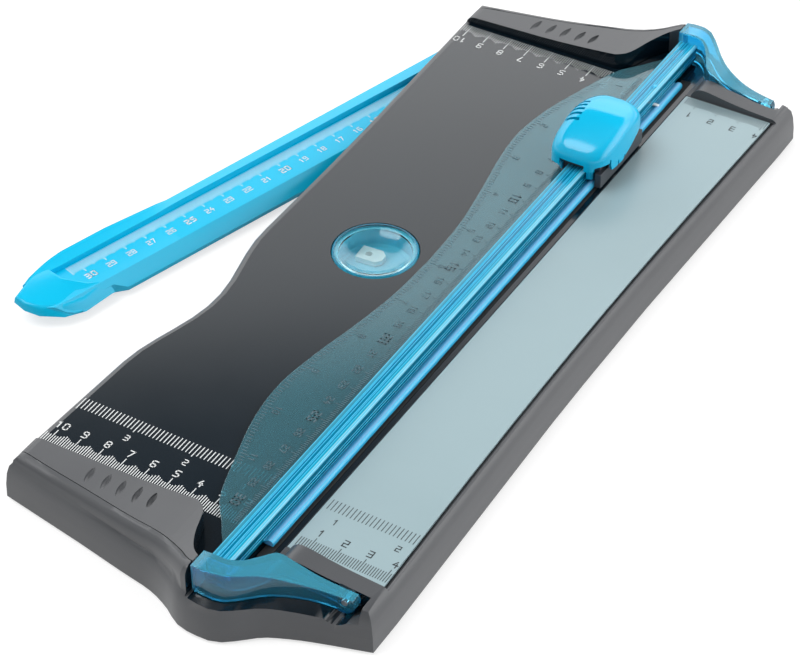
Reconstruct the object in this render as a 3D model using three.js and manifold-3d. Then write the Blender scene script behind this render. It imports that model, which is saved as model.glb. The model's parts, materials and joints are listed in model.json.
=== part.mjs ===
// Rotary paper trimmer: a deck with a lifting guide rail, a press-to-cut carriage and a swing-out ruler arm.
// Lengths are millimetres. X = 0 is the cut line, Y = 0 the middle of the deck, Z = 0 the deck's top face.
import * as THREE from "three";
import { mergeVertices } from "three/addons/utils/BufferGeometryUtils.js";
import Module from "manifold-3d";

const wasm = await Module();
wasm.setup();

// Clearances
const seatGap = 0.3; // between pieces that rest on or in each other
const slideGap = 0.4; // round moving pieces
const overrun = 30; // cuts run past the material by this much

// Base housing
const baseHeight = 15.6; // deck top to the rim
const deckHalf = 155; // middle of the deck to a paper stop
const deckLeft = 103.8; // cut line to the left edge
const deckRight = 44.1; // cut line to the right wall at its ends
const rightBow = 2.9; // how far the right wall is drawn in along its middle
const deckThick = 2.4;
const baseWall = 2.2;
const endCornerReach = 12; // paper stop to the straight part of an end
const swelling = 23.7; // how far an end swells past its straight part
const endCornerHalf = deckHalf + endCornerReach;
const bulgeHalf = endCornerHalf + swelling;
const rimFlare = 2.7; // the walls lean out by this much at the rim
const endHeight = 12; // deck top to the highest line of an end
const endCeiling = 9; // deck top to the hollow's roof under the rail arms
const seamWall = 4.2; // width of the end wall's round shoulder outside a cover
const shoulderHigh = 4.5; // height of that shoulder
const shoulderLap = 0.2; // the shoulder runs on under the seam by this
const edgeBow = 4.3; // how far the left edge is drawn in along its middle
const gripDepth = 7.8; // extra depth of the thumb recess
const gripCentre = -57; // thumb recess along Y
const gripHalf = 47;
const bossRadius = 3.6;
const ridgeStart = 5; // cut line to the ridge beside the panel
const pocketClear = 3.3; // room past an arm's right end
const scaleClearLeft = 13.6; // cut line to the left end of the arm pockets
const endCurveSteps = 40;

// Measuring panel
const panelLeft = 3.2;
const panelEdge = 2.3; // right wall's outer edge to the panel
const panelThick = 1.1;
const panelGroove = 1.4; // depth of the seat
const panelBorder = 1.5; // open groove between the panel and the right wall

// Cutting mat
const matLeft = -3.5;
const matRight = 0.7;
const matThick = 1.2;
const matReach = 9; // paper stop to the strip's end
const matHalf = deckHalf + matReach;

// End covers
const coverThick = 1.6;
const coverSet = 0.9; // paper stop to a cover's inner face
const coverInner = deckHalf + coverSet;

// Bottom plate, screws and feet
const plateThick = 1.6;
const plateRise = 0.2; // rim to the plate's underside
const screwShank = 1.3;
const screwHead = 3;
const screwHeadThick = 0.8;
const screwBite = 8.2;
const footRadius = 5;
const footStand = 1.3; // feet stand below the rim by this much
const footSink = 0.5;
const screwLeft = -66;
const screwRight = 34;
const screwMiddle = -20;
const screwFromStop = 37; // paper stop to the four outer screws
const endScrewFromStop = 5;
const footLeft = -64;
const footRight = 33;
const footFromStop = 13;
const middleFootX = 31;
const leftFootY = 40;

// Blade store
const storeX = -55.3;
const storeSides = 48;
const storeRadius = 17.6; // hole in the deck
const storeLedge = 4.2; // depth of the hole's ledge ring
const storeStep = 1; // width of the ledge
const cupDepth = 11.2;
const cupWall = 1.2;
const cupFlange = 1;
const cupEase = 1; // bevel round the cup's floor
const lidRim = 1.2;
const lidDish = 3;
const lidWall = 1.2;
const lidStand = 0.2; // rim above the deck
const lidSpigot = 1.8; // lid's neck below its rim
const lidEase = 0.4; // rounding of the rim
const dishFlatShare = 0.76; // where the dish starts to rise
const dishDepthShare = 0.82;
const spareLong = 11;
const spareWide = 8;
const spareThick = 2.6;
const spareBore = 1.4;
const spareTurn = 0.35; // radians
const spareBoreSet = 1.1; // bore off the middle
const spareNose = 2.2; // length of the narrowing end
const spareNoseHalf = 1.8;
const spareOffsetX = -4.6;
const spareOffsetY = 4.4;

// Ruler arm
const armScaleZ = -8; // top of the scale
const armThick = 1.6;
const armFence = 12.4; // pivot line to the fence's face
const armOuter = 18.9; // pivot line to the outer flank
const armSkirt = 9.2; // pivot line to the skirt's foot
const armShoulder = 4.6; // pivot line to the top of the skirt
const armFenceHeight = 2.7;
const armSkirtLean = 1.9; // the skirt leans in by this before its shoulder
const armFoot = -14.6;
const armTip = 329.5; // cut line to the tip when the arm stands square to it
const armPivotX = -86.3;
const stopLean = 1.24; // a stop wall leans back by this much at the fence
const armPivotY = deckHalf + stopLean - armFence; // at full swing the fence lines up with the far paper stop
const armRest = 16.5; // degrees out from its stored place
const armHub = 9.4;
const armHubEase = 3; // corners of the hub
const armFingerNotch = 2.6;
const notchFromTip = 20; // notch in the skirt, from the tip
const notchLong = 14;
const notchEase = 5;
const pivotRadius = 4;
const pivotBore = 1.7;
const pivotHead = 6.2;
const pivotWall = 3.2; // socket round the pivot
const pivotRoof = 1; // least roof over the pivot screw's bore
const washerThick = 0.8;
const slotRight = -75.4; // wall between the arm's slot and the hollow base
const slotWall = 1.6;
const slotNear = -101.5;
const slotLip = 4; // deck edge left above the arm

// Rail
const railLeft = -12.3;
const railRight = -4.1;
const railTop = 8.4;
const railFoot = 1.8;
const railEndSet = 10.7; // tip of the swelling to the arm's face behind the rail
const railEnd = bulgeHalf - railEndSet;
const railEndGap = 1;
const railHalf = railEnd - railEndGap;
const railGroove = 0.8;
const railGrooveLow = 3.6;
const railGrooveHigh = 5.4;
const railWall = 1.5; // top wall
const railSide = 1.15; // side walls behind the grooves
const railRib = 0.5; // depth of the two grooves along the top
const railEase = 0.5;
const flangeRight = -0.3;
const flangeTop = 3.2;
const flangeFoot = 0.7;
const flangeReach = 3; // paper stop to the flange's end
const flangeHalf = deckHalf + flangeReach;
const flangeWide = 2.9;

// Pressure plate
const plateRight = -5;
const flapFoot = 0.4;
const flapThick = 1;
const plateEndSet = 9; // arm's face behind the rail to the wave's end
const waveHalf = railEnd - plateEndSet;
const waveReach = 44.1; // cut line to the crests
const waveShift = 3.4; // middle of the wave from the middle of the deck

// Rail arms
const armLeft = 13.3; // cut line to an arm's left end
const hingeX = 34;
const hingeZ = -0.5;
const lobeRadius = 4.2;
const hingeReach = 8.2; // paper stop to an arm's inner face at the hinge
const hingeInner = deckHalf + hingeReach;
const shellThick = 1.5;
const shellInset = 2.4; // arm flank inside the end wall's line
const shellDraw = 2.3; // the flank draws in by this more between the swelling and the hinge
const armFootLeft = 0; // foot of the arm at the rail
const armFootRight = -4; // foot of the arm at the hinge
const spigotLong = 8;
const pinRadius = 1.3;
const pinBite = 5; // pin inside the housing's ridge
const lobeSwing = 1.1; // room round a turning lobe

// Carriage
const carriageY = 96.5; // middle of the carriage at rest
const baseHalf = 20.6;
const saddleLeft = -19.4;
const saddleFoot = 2.2;
const saddleTop = 11;
const saddleArch = 9; // roof over the rail
const saddleJaw = 3.6; // thickness of the left jaw at the rail
const saddleEase = 1;
const saddleRight = -2.7;
const postRadius = 1.7;
const postTop = 14.5;
const postSpread = 9; // posts from the carriage's middle
const postX = -11;

// Head
const pressTravel = 3.5;
const headLeft = -21.4;
const headRight = 4.2;
const headHalf = 22.4;
const headTop = 24.4;
const headFoot = 7.2;
const headWall = 1.4;
const headCorner = 9;
const headFrontCorner = 4.5;
const headEdge = 4.2; // bevels along the head's top
const headRightEdge = 2.5;
const gripCount = 5;
const gripPitch = 3.2;
const gripWide = 1.2;
const gripFirst = 6; // first grip slot from the carriage's middle
const gripCut = 0.7;
const gripLow = 10; // height of the slots' foot
const gripHigh = 11.8;
const springRadius = 2.6;
const springWire = 0.55;
const springCurls = 6;
const springTop = 18.2;

// Blade
const bladeRadius = 8;
const bladeThick = 0.5;
const bladeLeft = 0;
const bladeRest = 3.8; // lowest point of the raised blade
const bladeBore = 1.6;
const bladeEdge = 1.2; // width of the ground edge
const axleRadius = 1.25;
const cartridgeHalf = 11;
const cartridgeLeft = -2.3;
const cartridgeRight = 1.9;
const cartridgeFoot = 7.1;
const cartridgeTop = 17;
const cheekGap = 0.6; // cartridge cheek to the blade
const axleHead = 2.2; // radius of the axle's head
const axleHeadThick = 0.5;
const bladeLand = 0.1; // thickness left at the very edge

// Outline of an end, from its left corner: share of the width, share of the swelling
const endOutlineShares = [
  [0, 0.08], [0.1, 0.19], [0.235, 0.33], [0.37, 0.49], [0.468, 0.6], [0.535, 0.765],
  [0.586, 0.955], [0.6355, 1], [0.686, 0.96], [0.736, 0.72],
  [0.769, 0.55], [0.836, 0.36], [0.903, 0.215], [1, 0.03],
];
// Height line of an end, from its left corner: share of the width, share of the end's height
const endTopShares = [
  [-0.02, 0.29], [0.166, 0.35], [0.319, 0.433], [0.459, 0.583], [0.534, 0.708], [0.58, 0.858],
  [0.613, 0.975], [0.65, 1], [0.684, 0.985], [0.737, 0.767], [0.79, 0.483], [0.848, 0.3], [0.91, 0.208],
  [1.02, 0.13],
];
// Top of the ridge beside the panel: share of the way to the right edge, share of an end's height
const ridgeShares = [
  [0, 0.05], [0.04, 0.25], [0.1, 0.37], [0.17, 0.385], [0.28, 0.34], [0.43, 0.26], [0.66, 0.18], [1, 0.11],
];
// Inner edge of an end cover: share of the way to the left edge, share of the way to the swelling
const coverEdgeShares = [
  [0, 0.77], [0.037, 0.7], [0.071, 0.58], [0.1, 0.43], [0.12, 0.285], [0.14, 0.155], [0.163, 0.085],
  [0.2, 0.035],
];
// Inner edge of a rail arm: share of its width, share of the way from the hinge to the rail's end
const armEdgeShares = [
  [0, 1], [0.1, 1], [0.19, 0.98], [0.27, 0.78], [0.34, 0.42], [0.4, 0.13], [0.52, 0.06], [0.7, 0.04], [1, 0],
];
// Half of the pressure plate's wavy edge: share of its half length, share of its reach
const waveShares = [
  [0, 0.76], [0.15, 0.785], [0.29, 0.866], [0.41, 0.952], [0.526, 1], [0.643, 0.952], [0.76, 0.828],
  [0.877, 0.678], [0.936, 0.51], [0.985, 0.374], [1, 0.28],
];
// Flank of the ruler arm towards its tip: share of the tip's length, share of the arm's width from its skirt
const tipLong = 74;
const tipShares = [
  [0, 0.935], [0.25, 0.985], [0.5, 1.02], [0.7, 0.97], [0.86, 0.85], [0.985, 0.72], [1, 0.69],
  [1, 0.5], [0.97, 0.32], [0.9, 0.15], [0.84, 0.05], [0.78, 0],
];
// Side of the head: share of its length, share of its height
const headSideShares = [
  [0, 0], [0, 0.3], [0.06, 0.5], [0.2, 0.76], [0.4, 0.93], [0.6, 1], [0.78, 0.93], [0.92, 0.7], [1, 0.36],
  [1, 0],
];

// Helpers: closed geometries become solids, and solids become meshes
function solidOf(geometry) {
  const plain = geometry.clone();
  plain.deleteAttribute("normal");
  plain.deleteAttribute("uv");
  const merged = mergeVertices(plain, 1e-4);
  const vertProperties = new Float32Array(merged.attributes.position.array);
  const triVerts = new Uint32Array(merged.index.array);
  return new wasm.Manifold(new wasm.Mesh({ numProp: 3, vertProperties, triVerts }));
}

function geometryOf(solid) {
  const mesh = solid.getMesh();
  const geometry = new THREE.BufferGeometry();
  geometry.setAttribute("position", new THREE.BufferAttribute(new Float32Array(mesh.vertProperties), 3));
  geometry.setIndex(new THREE.BufferAttribute(new Uint32Array(mesh.triVerts), 1));
  const flat = geometry.toNonIndexed();
  flat.computeVertexNormals();
  return flat;
}

const vector = ([x, y]) => new THREE.Vector2(x, y);

function extruded(points, length, inset) {
  const settings = { depth: length, steps: 1, bevelEnabled: inset > 0 };
  if (inset > 0) {
    settings.bevelSegments = 0;
    settings.bevelThickness = 0;
    settings.bevelSize = 0;
    settings.bevelOffset = -inset;
  }
  return new THREE.ExtrudeGeometry(new THREE.Shape(points.map(vector)), settings);
}

// A plan outline in X and Y, between two heights
function slab(points, low, high, inset = 0) {
  return solidOf(extruded(points, high - low, inset).translate(0, 0, low));
}

// A section in X and Z, between two places along Y
function alongY(points, from, to, inset = 0) {
  return solidOf(extruded(points, to - from, inset).rotateX(Math.PI / 2).translate(0, to, 0));
}

// A section in Y and Z, between two places along X
function alongX(points, from, to, inset = 0) {
  const turn = new THREE.Matrix4().makeBasis(
    new THREE.Vector3(0, 1, 0),
    new THREE.Vector3(0, 0, 1),
    new THREE.Vector3(1, 0, 0),
  );
  return solidOf(extruded(points, to - from, inset).applyMatrix4(turn).translate(from, 0, 0));
}

function block(x0, x1, y0, y1, z0, z1) {
  const box = new THREE.BoxGeometry(x1 - x0, y1 - y0, z1 - z0);
  return solidOf(box.translate((x0 + x1) / 2, (y0 + y1) / 2, (z0 + z1) / 2));
}

// Round bars that stand along Z, Y or X
function post(x, y, radius, low, high, sides = 20) {
  const bar = new THREE.CylinderGeometry(radius, radius, high - low, sides);
  return solidOf(bar.rotateX(Math.PI / 2).translate(x, y, (low + high) / 2));
}

function barY(x, z, radius, from, to, sides = 20) {
  const bar = new THREE.CylinderGeometry(radius, radius, to - from, sides);
  return solidOf(bar.translate(x, (from + to) / 2, z));
}

function barX(y, z, radius, from, to, sides = 20) {
  const bar = new THREE.CylinderGeometry(radius, radius, to - from, sides);
  return solidOf(bar.rotateZ(Math.PI / 2).translate((from + to) / 2, y, z));
}

// A closed profile of [radius, height] points, turned round Z
function turned(points, x, y, sides = 40) {
  const ring = [...points, points[0]];
  return solidOf(new THREE.LatheGeometry(ring.map(vector), sides).rotateX(Math.PI / 2).translate(x, y, 0));
}

function smooth(points, steps) {
  return new THREE.SplineCurve(points.map(vector)).getSpacedPoints(steps).map((p) => [p.x, p.y]);
}

const group = new THREE.Group();

function piece(name, solid, color, roughness, opacity = 1, metalness = 0, parent = group) {
  const finish = new THREE.MeshStandardMaterial({ color, roughness, metalness });
  finish.transparent = opacity < 1;
  finish.opacity = opacity;
  const mesh = new THREE.Mesh(geometryOf(solid), finish);
  mesh.name = name;
  parent.add(mesh);
  return mesh;
}

const greyPlastic = 0x55585d;
const darkPlastic = 0x24272b;
const turquoise = 0x00b8e6;
const clearBlue = 0x4cc3ee;
const smokedBlue = 0x7fb4c4;
const steel = 0xb9bec4;

// Lines that several pieces share
const baseWidth = deckLeft + deckRight;
const rimZ = -baseHeight;
const endLine = smooth(
  endOutlineShares.map(([x, y]) => [-deckLeft + x * baseWidth, endCornerHalf + y * swelling]),
  endCurveSteps,
);
const endTopLine = smooth(
  endTopShares.map(([x, z]) => [-deckLeft + x * baseWidth, z * endHeight]),
  endCurveSteps,
);

// Height of an end's top at a place across the part
function endTopAt(x) {
  const next = Math.max(1, endTopLine.findIndex(([place]) => place >= x));
  const [x0, z0] = endTopLine[next - 1];
  const [x1, z1] = endTopLine[next];
  return z0 + ((z1 - z0) * (x - x0)) / (x1 - x0);
}

// The right edge bows in, from the far end to the near end, drawn in by a distance
function rightEdgeLine(inset, half) {
  const line = [];
  const steps = 24;
  for (let i = 0; i <= steps; i++) {
    const y = half - (2 * half * i) / steps;
    line.push([deckRight - inset - rightBow * Math.cos((Math.PI * y) / (2 * deckHalf)), y]);
  }
  return line;
}

// The left edge bows in and has a thumb recess
function leftEdgeLine() {
  const line = [];
  const steps = 36;
  for (let i = 0; i <= steps; i++) {
    const y = deckHalf - (2 * deckHalf * i) / steps;
    const bow = edgeBow * Math.cos((Math.PI * y) / (2 * deckHalf));
    const along = Math.min(1, Math.abs(y - gripCentre) / gripHalf);
    const grip = (gripDepth * (1 + Math.cos(Math.PI * along))) / 2;
    line.push([-deckLeft + bow + grip, y]);
  }
  return line;
}

const footprint = [
  ...endLine,
  ...rightEdgeLine(0, deckHalf),
  ...endLine.map(([x, y]) => [x, -y]).reverse(),
  ...leftEdgeLine().reverse(),
];

// An end's outline without its left corner, carried on past both sides
function endRegion(sign) {
  const span = endLine.filter(([x]) => x > -deckLeft + seamWall);
  const [first, second] = span;
  const slope = (second[1] - first[1]) / (second[0] - first[0]);
  const left = -deckLeft - overrun;
  const right = deckRight + overrun;
  const leftEnd = first[1] + slope * (left - first[0]) - seatGap;
  const rightEnd = span[span.length - 1][1] - seatGap;
  const line = [[left, 0], [left, leftEnd], ...span, [right, rightEnd], [right, 0]];
  return line.map(([x, y]) => [x, sign * y]);
}

// The height line as a section that is closed at a lower level, raised or lowered by a distance
function underEndTop(shift, floor) {
  const first = endTopLine[0];
  const last = endTopLine[endTopLine.length - 1];
  const line = endTopLine.map(([x, z]) => [x, z + shift]);
  return [[first[0] - overrun, floor], [first[0] - overrun, first[1] + shift], ...line,
    [last[0] + overrun, last[1] + shift], [last[0] + overrun, floor]];
}

// A rail arm's plan, between its inner edge and the end wall's line
const armWidth = armLeft + hingeX + lobeRadius;
const armEdge = smooth(
  armEdgeShares.map(([x, y]) => [-armLeft + x * armWidth, hingeInner + y * (railEnd - hingeInner)]),
  24,
);
const armRight = hingeX + lobeRadius;

// An arm's outer face follows the end wall's line, drawn in past the swelling
const shellLine = endLine.map(([x, y]) => {
  const share = Math.min(1, Math.max(0, x / armRight));
  return [x, y - shellInset - shellDraw * Math.sin(Math.PI * share)];
});

function armPlan(gap) {
  const inner = armEdge.map(([x, y]) => [x, y - gap]);
  const outer = shellLine.filter(([x]) => x > -armLeft && x < armRight).reverse();
  const reach = gap > 0 ? overrun : 0;
  const atRight = outer[0][1] + reach;
  const atLeft = outer[outer.length - 1][1] + reach;
  return [
    [-armLeft - gap, inner[0][1]],
    ...inner,
    [armRight + gap, inner[inner.length - 1][1]],
    [armRight + gap, atRight],
    ...outer.map(([x, y]) => [x, y + reach]),
    [-armLeft - gap, atLeft],
  ];
}

// The arm's foot falls towards the hinge, and its end is round about the hinge
function armSide(shift) {
  const side = [[-armLeft - overrun, armFootLeft + shift]];
  side.push([-armLeft, armFootLeft + shift]);
  side.push([hingeX, armFootRight - (shift < 0 ? seatGap : 0)]);
  return side;
}

const sideOf = (points, sign) => points.map(([x, y]) => [x, sign * y]);
const rangeY = (from, to, sign) => (sign > 0 ? [from, to] : [-to, -from]);

// Base housing
const screwHalf = deckHalf - screwFromStop;
const endScrewHalf = deckHalf - endScrewFromStop;
const screwPlaces = [
  [screwLeft, -screwHalf], [screwLeft, screwHalf], [screwRight, -screwHalf], [screwRight, screwHalf],
  [screwMiddle, -endScrewHalf], [screwMiddle, endScrewHalf],
];
const footHalf = deckHalf - footFromStop;
const footPlaces = [
  [footLeft, -footHalf], [footLeft, footHalf], [footRight, -footHalf], [footRight, footHalf],
  [footLeft, leftFootY], [middleFootX, 0],
];

function armPocket(sign) {
  const plan = sideOf(armPlan(lobeSwing), sign);
  const low = armFootRight - lobeSwing - lobeRadius / 2;
  const roof = [
    ...armSide(-lobeSwing),
    [armRight + overrun, armFootRight - seatGap],
    [armRight + overrun, endHeight + overrun],
    [-armLeft - overrun, endHeight + overrun],
  ];
  const [from, to] = rangeY(deckHalf, bulgeHalf + overrun, sign);
  const [innerY, outerY] = rangeY(hingeInner - lobeSwing, bulgeHalf + overrun, sign);
  return slab(plan, low - overrun, endHeight + overrun)
    .add(block(hingeX, armRight + pocketClear, innerY, outerY, low - overrun, endHeight + overrun))
    .intersect(alongY(roof, from, to))
    .add(barY(hingeX, hingeZ, lobeRadius + lobeSwing, innerY, outerY, 28));
}

// The footprint as a block with rounded rims: size is the depth of the rounding, inset draws all of it in
function roundedBlock(depth, high, size, inset, segments) {
  return new THREE.ExtrudeGeometry(new THREE.Shape(footprint.map(vector)), {
    depth,
    steps: 1,
    bevelThickness: high,
    bevelSize: size,
    bevelOffset: -inset,
    bevelSegments: segments,
  });
}

// The walls lean out in a curve from the deck to the rim
function flaredBlock(inset, low, high) {
  const shape = roundedBlock(overrun, baseHeight, rimFlare, inset, 4).translate(0, 0, rimZ - overrun);
  const far = deckLeft + overrun;
  const end = bulgeHalf + overrun;
  return solidOf(shape).intersect(block(-far, far, -end, end, low, high));
}

// The round shoulder of the end walls rises and falls with the height line
function makeShoulder() {
  const shape = roundedBlock(baseHeight, shoulderHigh, seamWall, seamWall, 4);
  shape.translate(0, 0, -baseHeight - shoulderHigh);
  const places = shape.attributes.position;
  for (let i = 0; i < places.count; i++) {
    const z = places.getZ(i);
    const top = endTopAt(places.getX(i));
    if (z > -shoulderHigh - seatGap) places.setZ(i, top + z * Math.min(1, top / shoulderHigh));
  }
  return solidOf(shape)
    .intersect(slab(footprint, -deckThick, endHeight + overrun))
    .subtract(slab(footprint, -deckThick - overrun, endHeight + overrun, seamWall + shoulderLap));
}

function makeOuterBlock() {
  const core = slab(footprint, -deckThick, endHeight + overrun, seamWall)
    .intersect(alongY(underEndTop(0, rimZ - overrun), -bulgeHalf - overrun, bulgeHalf + overrun));
  return flaredBlock(0, rimZ, 0).add(core).add(makeShoulder());
}

const outerBlock = makeOuterBlock();

// All that lies above the ridge beside the panel
function aboveRidge(sign) {
  const wide = deckRight - ridgeStart;
  const line = smooth(ridgeShares.map(([x, z]) => [ridgeStart + x * wide, z * endHeight]), 24);
  const right = deckRight + overrun;
  const tall = endHeight + overrun;
  const [from, to] = rangeY(deckHalf, bulgeHalf + overrun, sign);
  return alongY([...line, [right, line[line.length - 1][1]], [right, tall], [ridgeStart, tall]], from, to);
}

function makeBaseHousing() {
  let body = outerBlock;
  const far = deckLeft + overrun;
  const tall = endHeight + overrun;
  body = body.subtract(block(-far, far, -deckHalf - seatGap, deckHalf + seatGap, 0, tall));
  for (const sign of [-1, 1]) {
    const [from, to] = rangeY(deckHalf, bulgeHalf + overrun, sign);
    const coverSeat = slab(endRegion(sign), 0, tall, seamWall);
    body = body.subtract(coverSeat.intersect(block(-far, -scaleClearLeft, from, to, 0, tall)));
    body = body.subtract(aboveRidge(sign));
    const [low, high] = rangeY(deckHalf, railEnd + seatGap, sign);
    body = body.subtract(block(-scaleClearLeft - seatGap, ridgeStart, low, high, 0, tall));
    body = body.subtract(armPocket(sign));
    const [pinFrom, pinTo] = rangeY(hingeInner - lobeSwing - pinBite - seatGap, hingeInner, sign);
    body = body.subtract(barY(hingeX, hingeZ, pinRadius + seatGap, pinFrom, pinTo));
  }
  const hollow = flaredBlock(baseWall, rimZ - overrun, -deckThick).subtract(
    block(-scaleClearLeft - baseWall, far, deckHalf, bulgeHalf + overrun, -endCeiling, 0)
      .add(block(-scaleClearLeft - baseWall, far, -bulgeHalf - overrun, -deckHalf, -endCeiling, 0)),
  );
  body = body.subtract(hollow);
  const bossFoot = rimZ + plateRise + plateThick + seatGap;
  body = body.add(block(slotRight, slotRight + slotWall, slotNear, deckHalf, bossFoot, -deckThick / 2));
  const slotFar = armPivotY + Math.hypot(armOuter, pivotRadius) + slideGap;
  body = body.subtract(block(-far, slotRight, slotNear, slotFar, rimZ - overrun, -slotLip));
  body = body.add(post(armPivotX, armPivotY, pivotRadius, armFoot + armThick, -deckThick / 2, 28));
  body = body.add(post(storeX, 0, storeRadius + baseWall, -storeLedge, -deckThick / 2, storeSides));
  for (const [x, y] of screwPlaces) {
    body = body.add(post(x, y, bossRadius, bossFoot, -deckThick / 2));
    body = body.subtract(post(x, y, screwShank + seatGap, rimZ, bossFoot + screwBite));
  }
  body = body.subtract(post(armPivotX, armPivotY, pivotBore, rimZ, -deckThick - pivotRoof));
  body = body.subtract(post(storeX, 0, storeRadius, -lidRim - cupFlange - seatGap, tall, storeSides));
  body = body.subtract(post(storeX, 0, storeRadius - storeStep, -storeLedge - overrun, tall, storeSides));
  body = body.subtract(slab(panelPlan(seatGap, panelBorder, deckHalf), -panelGroove, tall));
  const matSeat = matThick + seatGap;
  const matGapHalf = matHalf + seatGap;
  return body.subtract(
    block(matLeft - seatGap, matRight + seatGap, -matGapHalf, matGapHalf, -matSeat, deckThick),
  );
}

// The panel's plan, wider by one distance on the left and another on the right
function panelPlan(leftGap, rightGap, half) {
  return [[panelLeft - leftGap, -half], ...rightEdgeLine(panelEdge - rightGap, half).reverse(),
    [panelLeft - leftGap, half]];
}

// End covers
function coverPlan(sign) {
  const reach = deckLeft - scaleClearLeft;
  const edge = smooth(
    coverEdgeShares.map(([x, y]) => [
      -scaleClearLeft - seatGap - x * reach, coverInner + y * (bulgeHalf - coverInner),
    ]),
    14,
  );
  const left = -deckLeft - overrun;
  const outer = bulgeHalf + overrun;
  return sideOf([...edge, [left, coverInner], [left, outer], [-scaleClearLeft - seatGap, outer]], sign);
}

// A cover's top: the height line with a round left edge
function coverTop() {
  const start = -deckLeft + seamWall;
  const high = endTopAt(start);
  const steps = 4;
  const line = [[-deckLeft, -overrun]];
  for (let i = 0; i <= steps; i++) {
    const angle = (Math.PI * i) / (2 * steps);
    line.push([start - seamWall * Math.cos(angle), high * Math.sin(angle)]);
  }
  line.push(...endTopLine.filter(([x]) => x > start + seatGap));
  line.push([line[line.length - 1][0], -overrun]);
  return line;
}

function makeCover(sign) {
  const plan = coverPlan(sign);
  const [from, to] = rangeY(deckHalf - overrun, bulgeHalf + overrun, sign);
  const inset = seamWall + seatGap;
  const region = endRegion(sign);
  const outer = slab(plan, seatGap, endHeight + overrun)
    .intersect(slab(region, seatGap, endHeight + overrun, inset))
    .intersect(slab(footprint, seatGap, endHeight + overrun))
    .intersect(alongY(coverTop(), from, to));
  const inner = slab(plan, -overrun, endHeight + overrun, coverThick)
    .intersect(slab(region, -overrun, endHeight + overrun, inset + coverThick))
    .intersect(slab(footprint, -overrun, endHeight + overrun, seamWall + coverThick / 2))
    .intersect(alongY(underEndTop(-coverThick, -overrun), from, to));
  return outer.subtract(inner);
}

// Bottom plate: it leaves the ruler arm's slot open
function makeBottomPlate() {
  const low = rimZ + plateRise;
  const high = low + plateThick;
  let plate = flaredBlock(baseWall + slideGap, low, high);
  const far = deckLeft + overrun;
  plate = plate.subtract(
    block(-far, slotRight - seatGap, slotNear - slideGap, bulgeHalf, low - overrun, high + overrun),
  );
  for (const [x, y] of screwPlaces) {
    plate = plate.subtract(post(x, y, screwShank + seatGap, low - overrun, high + overrun));
  }
  for (const [x, y] of footPlaces) {
    plate = plate.subtract(post(x, y, footRadius + seatGap, low - overrun, low + footSink + seatGap));
  }
  return plate;
}

function makeScrew([x, y]) {
  const headHigh = rimZ + plateRise - seatGap;
  const shank = post(x, y, screwShank, headHigh - screwHeadThick / 2, headHigh + screwBite, 12);
  return shank.add(post(x, y, screwHead, headHigh - screwHeadThick, headHigh, 20));
}

function makeFoot([x, y]) {
  return post(x, y, footRadius, rimZ - footStand, rimZ + plateRise + footSink, 24);
}

// Blade store
function makeStorageCup() {
  const top = -lidRim + lidStand - seatGap;
  const outer = storeRadius - storeStep - seatGap;
  const rim = storeRadius - seatGap;
  return turned([
    [0, -cupDepth], [outer - cupEase, -cupDepth], [outer, -cupDepth + cupEase], [outer, top - cupFlange],
    [rim, top - cupFlange], [rim, top], [outer - cupWall, top], [outer - cupWall, -cupDepth + 2 * cupWall],
    [outer - 2 * cupWall, -cupDepth + cupWall], [0, -cupDepth + cupWall],
  ], storeX, 0, storeSides);
}

function makeStorageLid() {
  const under = lidStand - lidRim;
  const neck = storeRadius - storeStep - seatGap - cupWall - slideGap;
  const rim = storeRadius - slideGap;
  return turned([
    [0, -lidDish - lidWall], [neck * dishFlatShare, -lidDish * dishDepthShare - lidWall],
    [neck, under - lidSpigot], [neck, under], [rim, under], [rim, lidStand - lidEase],
    [rim - lidEase, lidStand], [neck, lidStand], [neck - lidWall, under],
    [neck * dishFlatShare, -lidDish * dishDepthShare], [0, -lidDish],
  ], storeX, 0, storeSides);
}

function makeSpare() {
  const floor = -cupDepth + cupWall + seatGap;
  const half = spareLong / 2;
  const side = spareWide / 2;
  const line = [
    [-half, -side], [half - spareNose, -side], [half, -spareNoseHalf], [half, spareNoseHalf],
    [half - spareNose, side], [-half, side],
  ];
  let body = slab(line, floor, floor + spareThick);
  body = body.subtract(post(-spareBoreSet, 0, spareBore, floor - overrun, floor + overrun, 16));
  return body;
}

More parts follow.
